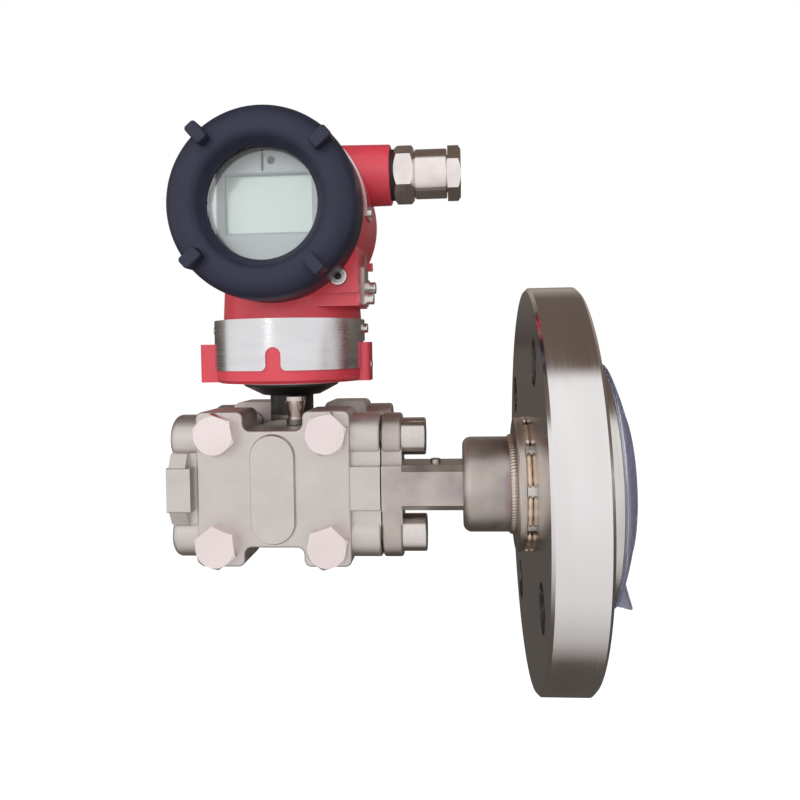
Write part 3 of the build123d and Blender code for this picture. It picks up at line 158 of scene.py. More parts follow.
room_mix = put(room_tree, "MixShader", {0: seen_through.outputs[0], 1: room_glow.outputs[0],
                                        2: white_beyond.outputs[0]})
put(room_tree, "OutputWorld", {0: room_mix.outputs[0]})

# The floor
# A pale, matt studio floor just under the process flange's rim. It isn't part of the object.
floor_gap = 0.0006
floor_half = 6.0
floor_white_share = 0.93
floor_white_level = 1.15
floor_z = cad_box[0].z - floor_gap
floor_corners = [(-floor_half, -floor_half, floor_z), (floor_half, -floor_half, floor_z),
                 (floor_half, floor_half, floor_z), (-floor_half, floor_half, floor_z)]
floor_mesh = bpy.data.meshes.new("studio_floor")
floor_mesh.from_pydata(floor_corners, [], [(0, 1, 2, 3)])
floor = bpy.data.objects.new("studio_floor", floor_mesh)
bpy.context.collection.objects.link(floor)
floor_finish = bpy.data.materials.new("pale_floor")
floor_finish.use_nodes = True
floor_tree = floor_finish.node_tree
floor_face = floor_tree.nodes["Principled BSDF"]
floor_face.inputs["Base Color"].default_value = (0.80, 0.79, 0.78, 1)
floor_face.inputs["Roughness"].default_value = 0.9
floor_face.inputs["Specular IOR Level"].default_value = 0.1
floor_eye = put(floor_tree, "LightPath")
floor_share = put(floor_tree, "Math", {0: floor_eye.outputs["Is Camera Ray"], 1: floor_white_share},
                  operation="MULTIPLY")
floor_white = put(floor_tree, "Emission", {"Color": (1, 1, 1, 1), "Strength": floor_white_level})
floor_mix = put(floor_tree, "MixShader", {0: floor_share.outputs[0], 1: floor_face.outputs[0],
                                          2: floor_white.outputs[0]})
floor_tree.links.new(floor_mix.outputs[0], floor_tree.nodes["Material Output"].inputs[0])
floor_mesh.materials.append(floor_finish)
floor.visible_glossy = False


# Process flange
# Turned ring of stainless steel with a bright rim and two faced sides, standard DN50 size.
# The seal's spigot is welded into it with a ring of short tacks, and four bolts hold it to the plant.
def group(name, takes, gives):
    """Shader node group; takes is (socket, kind, start value) and gives is (socket, kind)."""
    made = bpy.data.node_groups.new(name, "ShaderNodeTree")
    for socket, kind, start in takes:
        door = made.interface.new_socket(socket, in_out="INPUT", socket_type="NodeSocket" + kind)
        if start is not None:
            door.default_value = start
    for socket, kind in gives:
        made.interface.new_socket(socket, in_out="OUTPUT", socket_type="NodeSocket" + kind)
    return made, made.nodes.new("NodeGroupInput"), made.nodes.new("NodeGroupOutput")


def calc(tree, operation, first, second, limit=False):
    """Math node on two values or sockets; gives its output."""
    return put(tree, "Math", {0: first, 1: second}, operation=operation, use_clamp=limit).outputs[0]


def flattened(tree, parts):
    """A separated place without its height, and its distance from the height line."""
    flat = put(tree, "CombineXYZ", {0: parts.outputs[0], 1: parts.outputs[1], 2: 0.0}).outputs[0]
    return flat, put(tree, "VectorMath", {0: flat}, operation="LENGTH").outputs["Value"]


def turned_marks():
    """Fine lathe lines: noise over radius / pitch and height / pitch, nearly even round the axis."""
    tree, takes, gives = group(
        "turned marks",
        [("Place", "Vector", None), ("Pitch", "Float", 0.3), ("Drift", "Float", 0.7)],
        [("Line", "Float"), ("Drift", "Float")],
    )
    parts = put(tree, "SeparateXYZ", {0: takes.outputs["Place"]})
    flat, radius = flattened(tree, parts)
    heading = put(tree, "VectorMath", {0: flat}, operation="NORMALIZE").outputs[0]
    heading_parts = put(tree, "SeparateXYZ", {0: heading})
    across = calc(tree, "DIVIDE", radius, takes.outputs["Pitch"])
    along = calc(tree, "DIVIDE", parts.outputs[2], takes.outputs["Pitch"])
    round_x = calc(tree, "MULTIPLY", heading_parts.outputs[0], takes.outputs["Drift"])
    round_y = calc(tree, "MULTIPLY", heading_parts.outputs[1], takes.outputs["Drift"])
    spot = put(tree, "CombineXYZ", {0: across, 1: along, 2: round_x})
    line = put(tree, "TexNoise", {"Vector": spot.outputs[0], "W": round_y, "Scale": 1.0, "Detail": 2.0},
               noise_dimensions="4D")
    slow = (0.035, 0.035, 2.2)
    soft_spot = put(tree, "VectorMath", {0: spot.outputs[0], 1: slow}, operation="MULTIPLY")
    drift = put(tree, "TexNoise", {"Vector": soft_spot.outputs[0], "Scale": 1.0, "Detail": 1.0})
    tree.links.new(line.outputs[0], gives.inputs["Line"])
    tree.links.new(drift.outputs[0], gives.inputs["Drift"])
    return tree


def cast_grain():
    """Even fine grain of a blasted or sprayed skin, with soft clouds about forty grains wide."""
    tree, takes, gives = group(
        "cast grain",
        [("Place", "Vector", None), ("Size", "Float", 0.4)],
        [("Grain", "Float"), ("Cloud", "Float")],
    )
    scale = calc(tree, "DIVIDE", 1.0, takes.outputs["Size"])
    grain = put(tree, "TexNoise", {"Vector": takes.outputs["Place"], "Scale": scale, "Detail": 3.0,
                                   "Roughness": 0.62})
    wide = calc(tree, "MULTIPLY", scale, 0.025)
    cloud = put(tree, "TexNoise", {"Vector": takes.outputs["Place"], "Scale": wide, "Detail": 2.0})
    tree.links.new(grain.outputs[0], gives.inputs["Grain"])
    tree.links.new(cloud.outputs[0], gives.inputs["Cloud"])
    return tree


def brush_lines():
    """Straight brush lines: noise drawn out along the first direction."""
    tree, takes, gives = group(
        "brush lines",
        [("Place", "Vector", None), ("Length", "Float", 12.0), ("Width", "Float", 0.12)],
        [("Line", "Float"), ("Cloud", "Float")],
    )
    long_way = calc(tree, "DIVIDE", 1.0, takes.outputs["Length"])
    short_way = calc(tree, "DIVIDE", 1.0, takes.outputs["Width"])
    stretch = put(tree, "CombineXYZ", {0: long_way, 1: short_way, 2: short_way})
    spot = put(tree, "VectorMath", {0: takes.outputs["Place"], 1: stretch.outputs[0]}, operation="MULTIPLY")
    line = put(tree, "TexNoise", {"Vector": spot.outputs[0], "Scale": 1.0, "Detail": 2.0})
    cloud = put(tree, "TexNoise", {"Vector": takes.outputs["Place"], "Scale": 0.09, "Detail": 2.0})
    tree.links.new(line.outputs[0], gives.inputs["Line"])
    tree.links.new(cloud.outputs[0], gives.inputs["Cloud"])
    return tree


def worn_and_highlighted_edges():
    """Mask of outer and inner edges: how far a rounded normal leans from the true one, broken by noise. It
    stands partly for wear and partly for a painted highlight.
    """
    tree, takes, gives = group(
        "worn and highlighted edges",
        [("Place", "Vector", None), ("Width", "Float", 0.0006), ("Breaks", "Float", 0.35)],
        [("Edge", "Float")],
    )
    rounded = put(tree, "Bevel", {"Radius": takes.outputs["Width"]}, samples=4)
    facing = put(tree, "NewGeometry")
    lean = put(tree, "VectorMath", {0: rounded.outputs[0], 1: facing.outputs["Normal"]},
               operation="DOT_PRODUCT")
    edge = put(tree, "MapRange", {"Value": lean.outputs["Value"], "From Min": 0.995, "From Max": 0.86})
    breaks = put(tree, "TexNoise", {"Vector": takes.outputs["Place"], "Scale": 0.7, "Detail": 3.0})
    broken = put(tree, "MapRange", {"Value": breaks.outputs[0], "From Min": 0.35, "From Max": 0.65})
    kept = put(tree, "Mix", {"Factor": takes.outputs["Breaks"], 2: 1.0, 3: broken.outputs[0]})
    mask = calc(tree, "MULTIPLY", edge.outputs[0], kept.outputs[0], limit=True)
    tree.links.new(mask, gives.inputs["Edge"])
    return tree


def cut_thread():
    """Screw thread: a wave over height / pitch less the turn, between two heights and two radii."""
    tree, takes, gives = group(
        "cut thread",
        [("Place", "Vector", None), ("Pitch", "Float", 1.5), ("From", "Float", 0.0), ("To", "Float", 10.0),
         ("Inner", "Float", 3.0), ("Outer", "Float", 5.0)],
        [("Height", "Float")],
    )
    parts = put(tree, "SeparateXYZ", {0: takes.outputs["Place"]})
    _, radius = flattened(tree, parts)
    turn = calc(tree, "DIVIDE", calc(tree, "ARCTAN2", parts.outputs[1], parts.outputs[0]), 2 * math.pi)
    step = calc(tree, "DIVIDE", parts.outputs[2], takes.outputs["Pitch"])
    wave = calc(tree, "PINGPONG", calc(tree, "SUBTRACT", step, turn), 0.5)
    above = calc(tree, "GREATER_THAN", parts.outputs[2], takes.outputs["From"])
    below = calc(tree, "LESS_THAN", parts.outputs[2], takes.outputs["To"])
    outside = calc(tree, "GREATER_THAN", radius, takes.outputs["Inner"])
    inside = calc(tree, "LESS_THAN", radius, takes.outputs["Outer"])
    at_height = calc(tree, "MULTIPLY", above, below)
    at_radius = calc(tree, "MULTIPLY", outside, inside)
    mask = calc(tree, "MULTIPLY", at_height, at_radius)
    crest = calc(tree, "MULTIPLY", wave, 2.0)
    tree.links.new(calc(tree, "MULTIPLY", crest, mask), gives.inputs["Height"])
    return tree


def heat_tint():
    """Oxide colours beside a weld: straw, brown, violet and blue in turn as Distance goes from 0 to 1."""
    tree, takes, gives = group(
        "heat tint",
        [("Distance", "Float", 0.0)],
        [("Color", "Color"), ("Strength", "Float")],
    )
    near = put(tree, "MapRange", {"Value": takes.outputs["Distance"]})
    colour = ramp(
        tree, near.outputs[0],
        (0.0, (0.50, 0.38, 0.33)),
        (0.25, (0.40, 0.20, 0.13)),
        (0.5, (0.25, 0.14, 0.17)),
        (0.75, (0.30, 0.29, 0.38)),
        (1.0, (0.50, 0.47, 0.42)),
    )
    tree.links.new(colour, gives.inputs["Color"])
    tree.links.new(calc(tree, "SUBTRACT", 1.0, near.outputs[0], limit=True), gives.inputs["Strength"])
    return tree


effects = {"turned": turned_marks(), "cast": cast_grain(), "brushed": brush_lines(), "edges": worn_and_highlighted_edges(),
           "thread": cut_thread(), "tint": heat_tint()}
turns = {"X": (0, math.radians(-90), 0), "Y": (math.radians(90), 0, 0), "Z": (0, 0, 0)}


def placed(tree, axis="Z", centre=(0, 0, 0)):
    """Object coordinates in millimetres, moved so that a line through centre along axis is the height."""
    turn = turns[axis]
    spin = Matrix.Rotation(turn[0], 3, "X") @ Matrix.Rotation(turn[1], 3, "Y")
    shift = -(spin @ Vector(centre))
    here = put(tree, "TexCoord")
    moved = put(tree, "Mapping", {"Vector": here.outputs["Object"], "Location": shift, "Rotation": turn,
                                  "Scale": (1000, 1000, 1000)})
    return moved.outputs[0]


def effect(tree, name, **inputs):
    """Places one of the shared effects with its own values."""
    made = put(tree, "Group", node_tree=effects[name])
    for socket, value in inputs.items():
        if isinstance(value, bpy.types.NodeSocket):
            tree.links.new(value, made.inputs[socket])
        else:
            made.inputs[socket].default_value = value
    return made


def blend(tree, share, first, second):
    """Mixes two colours or colour sockets by share."""
    colours = {6: first, 7: second}
    for key, value in colours.items():
        if not isinstance(value, bpy.types.NodeSocket):
            colours[key] = (*value, 1)
    return put(tree, "Mix", {"Factor": share, **colours}, data_type="RGBA").outputs[2]


def spread(tree, value, low, high, start=0.3, end=0.7):
    """Maps value, from start to end, onto low to high."""
    return put(tree, "MapRange", {"Value": value, "From Min": start, "From Max": end, "To Min": low,
                                  "To Max": high}).outputs[0]


def raised(tree, height, rise, under=None):
    """Bump node; rise is the height in metres of a full step of the height value."""
    inputs = {"Height": height, "Distance": rise}
    if under is not None:
        inputs["Normal"] = under
    return put(tree, "Bump", inputs).outputs[0]


def blank_finish(name):
    """Material with only its Principled shader; gives the material, its tree and the shader."""
    made = bpy.data.materials.new(name)
    made.use_nodes = True
    return made, made.node_tree, made.node_tree.nodes["Principled BSDF"]


# Edges are brightened partly as wear and partly as a painted highlight.
edge_highlight_gain = 1.25
oxide_share = 0.85


def metal(name, light, dark, rough, axis="Z", centre=(0, 0, 0), marks="turned", size=0.3, rise=0.00001,
          contrast=0.3, edge=0.25, tint=None):
    """Metal finish: light and dark are its two tones, rough the roughness from smooth to dull places, marks
    and size the kind and width of its working lines, rise their depth in metres, contrast how much their
    tone shows, edge how bright edges are, partly wear and partly a painted highlight, and tint a weld's
    heat as (heights from, to, radii from, to)."""
    made, tree, face = blank_finish(name)
    here = placed(tree, axis, centre)
    if marks == "cast":
        work = effect(tree, "cast", Place=here, Size=size)
        line, cloud = work.outputs["Grain"], work.outputs["Cloud"]
    elif marks == "brushed":
        work = effect(tree, "brushed", Place=here, Width=size)
        line, cloud = work.outputs["Line"], work.outputs["Cloud"]
    else:
        work = effect(tree, "turned", Place=here, Pitch=size)
        line, cloud = work.outputs["Line"], work.outputs["Drift"]
    colour = blend(tree, spread(tree, cloud, 0.0, 1.0), dark, light)
    fine = blend(tree, spread(tree, line, 0.0, 0.35), (0, 0, 0), (1, 1, 1))
    colour = put(tree, "Mix", {"Factor": contrast, 6: colour, 7: fine}, data_type="RGBA",
                 blend_type="OVERLAY").outputs[2]
    if edge:
        edge_wear_and_highlight = effect(tree, "edges", Place=here)
        bright = tuple(min(1.0, c * edge_highlight_gain) for c in light)
        colour = blend(tree, calc(tree, "MULTIPLY", edge_wear_and_highlight.outputs["Edge"], edge), colour, bright)
    if tint is not None:
        parts = put(tree, "SeparateXYZ", {0: here})
        _, radius = flattened(tree, parts)
        from_height, to_height, from_radius, to_radius = tint
        by_height = put(tree, "MapRange", {"Value": parts.outputs[2], "From Min": from_height,
                                           "From Max": to_height})
        by_radius = put(tree, "MapRange", {"Value": radius, "From Min": from_radius, "From Max": to_radius})
        far = calc(tree, "ADD", by_height.outputs[0], by_radius.outputs[0])
        uneven = calc(tree, "ADD", far, spread(tree, cloud, -0.25, 0.25))
        oxide = effect(tree, "tint", Distance=uneven)
        colour = blend(tree, calc(tree, "MULTIPLY", oxide.outputs["Strength"], oxide_share), colour,
                       oxide.outputs["Color"])
    wide_rough = spread(tree, cloud, rough[0], rough[1])
    uneven_rough = calc(tree, "ADD", wide_rough, spread(tree, line, -0.05, 0.05))
    tree.links.new(colour, face.inputs["Base Color"])
    tree.links.new(uneven_rough, face.inputs["Roughness"])
    tree.links.new(raised(tree, line, rise), face.inputs["Normal"])
    face.inputs["Metallic"].default_value = 1.0
    return made


def dress(finish, *names):
    """Gives CAD nodes this finish."""
    for name in names:
        slots = nodes[name].data.materials
        slots.clear()
        slots.append(finish)


flange_finish = metal("turned_flange_steel", (0.84, 0.82, 0.815), (0.79, 0.77, 0.765), (0.12, 0.18),
                      axis="X", size=0.35, rise=0.000005, contrast=0.12, edge=0.5,
                      tint=(-40, -19.9, 26, 40))
dress(flange_finish, "process_flange")

# Diaphragm seal
# The raised plate with its spigot is one turned stainless piece. A thin corrugated foil is welded into
# its face, and a backing disc closes the spigot's other end.
seal_finish = metal("turned_seal_steel", (0.80, 0.78, 0.76), (0.66, 0.64, 0.62), (0.18, 0.30), axis="X",
                    size=0.25, rise=0.000008, edge=0.4)
disc_finish = metal("tinted_disc_steel", (0.72, 0.68, 0.64), (0.55, 0.50, 0.46), (0.24, 0.38), axis="X",
                    size=0.3, edge=0.4, tint=(-60, -22.0, 19, 27))
foil_finish = metal("rolled_foil", (0.80, 0.79, 0.78), (0.70, 0.69, 0.68), (0.22, 0.34), axis="X",
                    marks="cast", size=0.8, rise=0.000004, edge=0)
dress(seal_finish, "seal_body")
dress(disc_finish, "seal_disc")
dress(foil_finish, "diaphragm")


# Tack welds
# Ten short runs of weld hold the spigot in the flange, in the gap beside the backing disc.
# Each was laid by hand, so they differ a little in length and height, and their heat left colours.
same_place = 1e-7


def grid_mesh(name, grid, close_rows=False, close_columns=False):
    """Mesh of a grid of points (rows, columns, 3); a closed direction joins its last line to its first.
    Points that fall together, as at a pole, are merged, and the faces are turned outwards."""
    rows, columns = grid.shape[:2]
    row = np.arange(rows if close_rows else rows - 1)
    column = np.arange(columns if close_columns else columns - 1)
    r, c = (a.ravel() for a in np.meshgrid(row, column, indexing="ij"))
    next_r = (r + 1) % rows
    next_c = (c + 1) % columns
    corners = [r * columns + c, next_r * columns + c, next_r * columns + next_c, r * columns + next_c]
    faces = np.stack(corners, 1)
    mesh = bpy.data.meshes.new(name)
    mesh.from_pydata(grid.reshape(-1, 3).tolist(), [], faces.tolist())
    work = bmesh.new()
    work.from_mesh(mesh)
    bmesh.ops.remove_doubles(work, verts=work.verts, dist=same_place)
    bmesh.ops.recalc_face_normals(work, faces=work.faces)
    work.to_mesh(mesh)
    work.free()
    mesh.polygons.foreach_set("use_smooth", [True] * len(mesh.polygons))
    return mesh


def piece(name, mesh, finish, body, slot, *stands_for):
    """Shows a mesh as a piece of the object that rides on a body and stands for CAD nodes."""
    made = bpy.data.objects.new(name, mesh)
    bpy.context.collection.objects.link(made)
    mesh.materials.clear()
    mesh.materials.append(finish)
    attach(made, body)
    if stands_for:
        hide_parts(*stands_for)
    return made


def joined(name, meshes):
    """One mesh from several."""
    work = bmesh.new()
    for mesh in meshes:
        work.from_mesh(mesh)
    whole = bpy.data.meshes.new(name)
    work.to_mesh(whole)
    work.free()
    return whole


tack_x = -21.0
tack_radius = 26.95
tack_half_wide = 1.12
tack_half_high = 1.3
tack_ripple = 0.07
tack_ripple_rate = 34
tack_ripple_bow = 1.4


def tack(turn, arc, fat):
    """Weld run: an oval section carried along an arc about the X axis, swollen in the middle, with ripples
    that bow towards the run's end."""
    share = np.linspace(0, 1, 57)[:, None]
    round_section = np.linspace(0, 2 * math.pi, 20, endpoint=False)[None, :]
    swell = np.sqrt(np.clip(1 - (2 * share - 1) ** 6, 0, 1))
    wave = np.sin(share * arc * tack_ripple_rate - tack_ripple_bow * np.cos(round_section))
    ripple = 1 + tack_ripple * wave * swell
    half_wide = tack_half_wide * fat * swell * ripple
    half_high = tack_half_high * fat * swell * ripple
    x = tack_x + half_wide * np.sin(round_section)
    radius = tack_radius + half_high * np.cos(round_section)
    angle = turn + (share - 0.5) * arc
    return np.stack([x, radius * np.cos(angle), radius * np.sin(angle)], -1) / 1000


tack_count = 10
tack_step = 2 * math.pi / tack_count
tack_middle = math.radians(14)
tack_arc = 0.50
tack_vary = 0.05
tack_odds = np.random.default_rng(7).uniform(-1, 1, (tack_count, 2))
tack_finish = metal("tack_weld", (0.95, 0.90, 0.80), (0.76, 0.60, 0.48), (0.34, 0.48), axis="X",
                    marks="cast", size=0.9, rise=0.00003, edge=0)
tack_meshes = []
for number, odds in enumerate(tack_odds):
    run = tack(number * tack_step + tack_middle, tack_arc + tack_vary * odds[0], 1 + tack_vary * odds[1])
    tack_meshes.append(grid_mesh(f"tack_{number}", run, close_columns=True))
piece("tack_weld_runs", joined("tack_weld_runs", tack_meshes), tack_finish, "sensor", "weld", "tack_welds")

# Hub weld
# One continuous bead joins the hub to the backing disc. It was laid by a turning machine, so its
# ripples are even, and it is left bright.
ring_turn = np.linspace(0, 2 * math.pi, 480, endpoint=False)[:, None]
bead_section = np.linspace(0, 2 * math.pi, 22, endpoint=False)[None, :]
bead_middle_x = -26.35
bead_ring_radius = 19.2
bead_half = 1.72
bead_stretch = 1.05
bead_ripple_count = 96
bead_ripple_high = 0.10
bead_swell_count = 5
bead_swell_high = 0.06
bead_ripple = bead_ripple_high * np.sin(ring_turn * bead_ripple_count + 1.6 * np.cos(bead_section - 0.8))
bead_size = bead_half + bead_ripple + bead_swell_high * np.sin(ring_turn * bead_swell_count)
bead_x = bead_middle_x + bead_stretch * bead_size * np.cos(bead_section)
bead_radius = bead_ring_radius + bead_size * np.sin(bead_section)
bead_grid = np.stack([bead_x, bead_radius * np.cos(ring_turn), bead_radius * np.sin(ring_turn)], -1)
bead_finish = metal("machine_weld", (0.80, 0.76, 0.72), (0.62, 0.54, 0.48), (0.20, 0.34), axis="X",
                    marks="cast", size=1.2, rise=0.00001, edge=0)
piece("hub_bead", grid_mesh("hub_bead", bead_grid / 1000, True, True), bead_finish, "sensor", "weld",
      "hub_weld_bead")

# Process adapter
# One stainless forging: a turned hub, a square bar and an oval plate. It was blasted, so it is dull,
# and the hub is browner where the weld's heat reached it. A small plug closes the bar's filling port.
adapter_finish = metal("blasted_adapter_steel", (0.68, 0.64, 0.61), (0.54, 0.495, 0.465), (0.34, 0.46),
                       axis="X", marks="cast", size=0.35, rise=0.000018, edge=0.35,
                       tint=(-25.2, -31.0, 40, 60))
gasket_finish = metal("graphite_gasket", (0.05, 0.05, 0.055), (0.03, 0.03, 0.032), (0.55, 0.7),
                      marks="cast", edge=0)
bright_finish = metal("polished_steel", (0.83, 0.80, 0.78), (0.70, 0.66, 0.63), (0.12, 0.24), marks="cast",
                      size=1.5, rise=0.000003, edge=0.3)
dress(adapter_finish, "process_adapter")
dress(gasket_finish, "adapter_gasket")
dress(bright_finish, "adapter_screws", "fill_port_plug")

# Measuring body
# Two stainless investment castings clamp the capsule between them. They are bead blasted to an even
# warm grey, with a raised pad in the middle and slightly brighter edges, partly rubbed and partly a painted
# highlight.
body_finish = metal("bead_blasted_casting", (0.76, 0.72, 0.70), (0.69, 0.655, 0.635), (0.40, 0.52),
                    axis="Y", marks="cast", size=0.30, rise=0.00002, edge=0.45)
dress(body_finish, "front_process_flange", "rear_process_flange")

# Body bolts
# Four M10 hexagon bolts go through both castings into nuts at the back. Their heads are forged and
# left bare. The thread shows only where the bolts leave the nuts.
bolt_finish = metal("forged_bolt_steel", (0.95, 0.87, 0.86), (0.84, 0.76, 0.75), (0.26, 0.40), axis="Y",
                    marks="cast", size=1.1, rise=0.000014, edge=0.6)
nut_finish = metal("forged_nut_steel", (0.78, 0.74, 0.72), (0.62, 0.58, 0.56), (0.28, 0.42), axis="Y",
                   marks="cast", size=0.8, rise=0.00001, edge=0.6)
dress(bolt_finish, "flange_bolts")
dress(nut_finish, "flange_nuts")

# Capsule and filling stem
# The welded measuring cell sits between the castings; its bare steel is given dark tones as painted shade.
# Its neck is painted black, and its polished stem widens upwards in the notch. Plugs close two ports, and
# what lies inside is finished plainly.
body_x = -126.4
plug_finish = metal("turned_plug_steel", (0.62, 0.59, 0.56), (0.48, 0.45, 0.42), (0.28, 0.40), axis="X",
                    edge=0.3)
# The capsule's steel tones are kept dark: painted shade for the deep notch it shows through.
capsule_finish = metal("turned_capsule_steel", (0.36, 0.335, 0.31), (0.26, 0.24, 0.22), (0.34, 0.46),
                       axis="Y", centre=(body_x, 0, 0), size=0.3, edge=0.2)
paint_line = 28.5
capsule_tree = capsule_finish.node_tree
capsule_face = capsule_tree.nodes["Principled BSDF"]
capsule_parts = put(capsule_tree, "SeparateXYZ", {0: placed(capsule_tree)})
painted = calc(capsule_tree, "GREATER_THAN", capsule_parts.outputs[2], paint_line)
bare_colour = capsule_face.inputs["Base Color"].links[0].from_socket
capsule_tree.links.new(blend(capsule_tree, painted, bare_colour, (0.016, 0.015, 0.015)),
                       capsule_face.inputs["Base Color"])
capsule_tree.links.new(calc(capsule_tree, "SUBTRACT", 1.0, painted), capsule_face.inputs["Metallic"])
stem_finish = metal("polished_stem_steel", (0.80, 0.74, 0.70), (0.66, 0.60, 0.56), (0.10, 0.18),
                    centre=(-121.4, 12.2, 0), size=0.5, rise=0.000004, edge=0.3)
dress(plug_finish, "port_plugs", "sensor_cell")
dress(capsule_finish, "capsule")
dress(stem_finish, "fill_stem")
dress(foil_finish, "isolating_diaphragms")


# Seals and rubber
# White plastic rings seal the capsule and the collar. The covers' rings, the gland's washer and its
# insert are black rubber, matt with a little bloom.
# Paler edges stand partly for wear and partly for a painted highlight.
edge_highlight_paleness = 0.22
thread_depth = 0.0004


def moulded(name, light, dark, rough, size=0.5, rise=0.000008, coat=0.0, edge=0.0, centre=(0, 0, 0),
            axis="Z", thread=None, shine=0.5):
    """Paint, plastic or rubber: two near tones, a fine skin texture, paler edges for wear and a painted
    highlight, an optional clear coat, shine as its specular level, and a thread as (pitch, heights from,
    to, radii from, to) in millimetres.
    A thread is thread_depth metres deep for each millimetre of its pitch."""
    made, tree, face = blank_finish(name)
    here = placed(tree, axis, centre)
    work = effect(tree, "cast", Place=here, Size=size)
    colour = blend(tree, spread(tree, work.outputs["Cloud"], 0.0, 1.0), dark, light)
    if edge:
        edge_wear_and_highlight = effect(tree, "edges", Place=here, Width=0.0008)
        pale = tuple(c + (1 - c) * edge_highlight_paleness for c in light)
        colour = blend(tree, calc(tree, "MULTIPLY", edge_wear_and_highlight.outputs["Edge"], edge), colour, pale)
    tree.links.new(colour, face.inputs["Base Color"])
    normal = raised(tree, work.outputs["Grain"], rise)
    if thread is not None:
        pitch, low, high, inner, outer = thread
        screw = effect(tree, "thread", Place=here, Pitch=pitch, From=low, To=high, Inner=inner, Outer=outer)
        normal = raised(tree, screw.outputs["Height"], pitch * thread_depth, normal)
    tree.links.new(spread(tree, work.outputs["Cloud"], rough[0], rough[1]), face.inputs["Roughness"])
    tree.links.new(normal, face.inputs["Normal"])
    face.inputs["Specular IOR Level"].default_value = shine
    face.inputs["Coat Weight"].default_value = coat
    face.inputs["Coat Roughness"].default_value = 0.25
    return made


white_ring_finish = moulded("white_seal_plastic", (0.84, 0.83, 0.80), (0.78, 0.76, 0.72), (0.45, 0.6))
rubber_finish = moulded("black_rubber", (0.022, 0.022, 0.023), (0.014, 0.014, 0.015), (0.55, 0.75))
dress(white_ring_finish, "capsule_seals", "collar_seal")
dress(rubber_finish, "front_cover_o_ring", "rear_cover_o_ring", "gland_gasket", "gland_insert")

# Neck adapter
# A turned steel flare under the head, painted satin black. The sensor's small board lies in its socket.
neck_finish = moulded("black_neck_paint", (0.020, 0.019, 0.019), (0.012, 0.011, 0.011), (0.30, 0.42),
                      coat=0.3, edge=0.3)
board_finish = moulded("green_board_lacquer", (0.03, 0.20, 0.09), (0.01, 0.11, 0.05), (0.25, 0.4), size=1.2,
                       coat=0.5)
dress(neck_finish, "neck_adapter")
dress(board_finish, "sensor_board", "display_board", "main_board")

# Electronics housing
# One aluminium casting, powder coated red with a faint orange peel. The covers screw onto its two
# spigots. The front one's thread shows as a bump when its cover is off, and the rear one is left plain.
barrel_centre = (body_x, 0, 118)
housing_finish = moulded("red_powder_coat", (0.66, 0.050, 0.078), (0.57, 0.038, 0.062), (0.32, 0.44),
                         size=0.7, rise=0.00003, coat=0.15, edge=0.35, centre=barrel_centre, axis="Y",
                         thread=(2.0, -15.0, -5.6, 34.5, 35.2))
dress(housing_finish, "electronics_housing")

# Collar band and its screws
# A strip of stainless sheet is bent round the front of the collar, brushed along its length, with a
# notch at its lower edge. A small screw holds each end, and a set screw in each lug locks the head.
neck_y = 27.25
band_finish = metal("brushed_band_steel", (0.80, 0.80, 0.81), (0.75, 0.75, 0.76), (0.24, 0.28),
                    centre=(body_x, neck_y, 0), size=0.16, rise=0.000003, contrast=0.10, edge=0.2)
small_screw_finish = metal("small_screw_steel", (0.84, 0.82, 0.80), (0.74, 0.71, 0.68), (0.18, 0.26),
                           marks="cast", size=0.6, rise=0.0000015, contrast=0.1, edge=0.5)
dress(band_finish, "collar_band")
dress(small_screw_finish, "band_screws", "collar_set_screws")

# Nameplate strap
# A bare stainless strip over the barrel's top, left blank, with one round screw at each end.
strap_finish = metal("brushed_strap_steel", (0.82, 0.82, 0.80), (0.70, 0.70, 0.68), (0.18, 0.28), axis="Y",
                     centre=barrel_centre, size=0.14, rise=0.000005, edge=0.4)
dress(strap_finish, "nameplate_strap")
dress(small_screw_finish, "nameplate_screws")

# Zero screw and earth terminal
# The zero screw stands in the side block's front. Its key socket and a thin ring at its rim are darkened
# with painted shade.
# A pointed stainless plate with two screws and washers on the block's side takes the earth wire.
screw_centre = (-98.4, 0, 89.3)
key_size = 2.8
# Painted shade: these radii set the darkened key socket and the thin darkened ring at the screw's rim.
socket_shade_end = key_size * 0.58
rim_shade_start = 3.35
rim_shade_end = 3.7
rim_shade_share = 0.7
zero_finish = metal("turned_zero_screw", (0.92, 0.90, 0.89), (0.86, 0.84, 0.83), (0.20, 0.28), axis="Y",
                    centre=screw_centre, size=0.3, rise=0.0000015, contrast=0.1, edge=0)
zero_tree = zero_finish.node_tree
zero_face = zero_tree.nodes["Principled BSDF"]
zero_parts = put(zero_tree, "SeparateXYZ", {0: placed(zero_tree, "Y", screw_centre)})
_, zero_radius = flattened(zero_tree, zero_parts)
# Darkens the socket and the rim ring towards near black: painted shade.
socket_painted_shade = spread(zero_tree, zero_radius, 1.0, 0.0, key_size * 0.5, socket_shade_end)
rim_painted_shade = spread(zero_tree, zero_radius, 0.0, rim_shade_share, rim_shade_start, rim_shade_end)
all_painted_shade = calc(zero_tree, "MAXIMUM", socket_painted_shade, rim_painted_shade)
zero_unshaded = zero_face.inputs["Base Color"].links[0].from_socket
zero_shaded = blend(zero_tree, all_painted_shade, zero_unshaded, (0.10, 0.085, 0.08))
zero_tree.links.new(zero_shaded, zero_face.inputs["Base Color"])
plate_finish = metal("pressed_plate_steel", (0.74, 0.72, 0.68), (0.58, 0.56, 0.52), (0.24, 0.36), axis="X",
                     marks="brushed", size=0.15, rise=0.000005, edge=0.5)
dress(zero_finish, "zero_adjust_screw")
dress(small_screw_finish, "earth_screws")
dress(plate_finish, "earth_bracket")

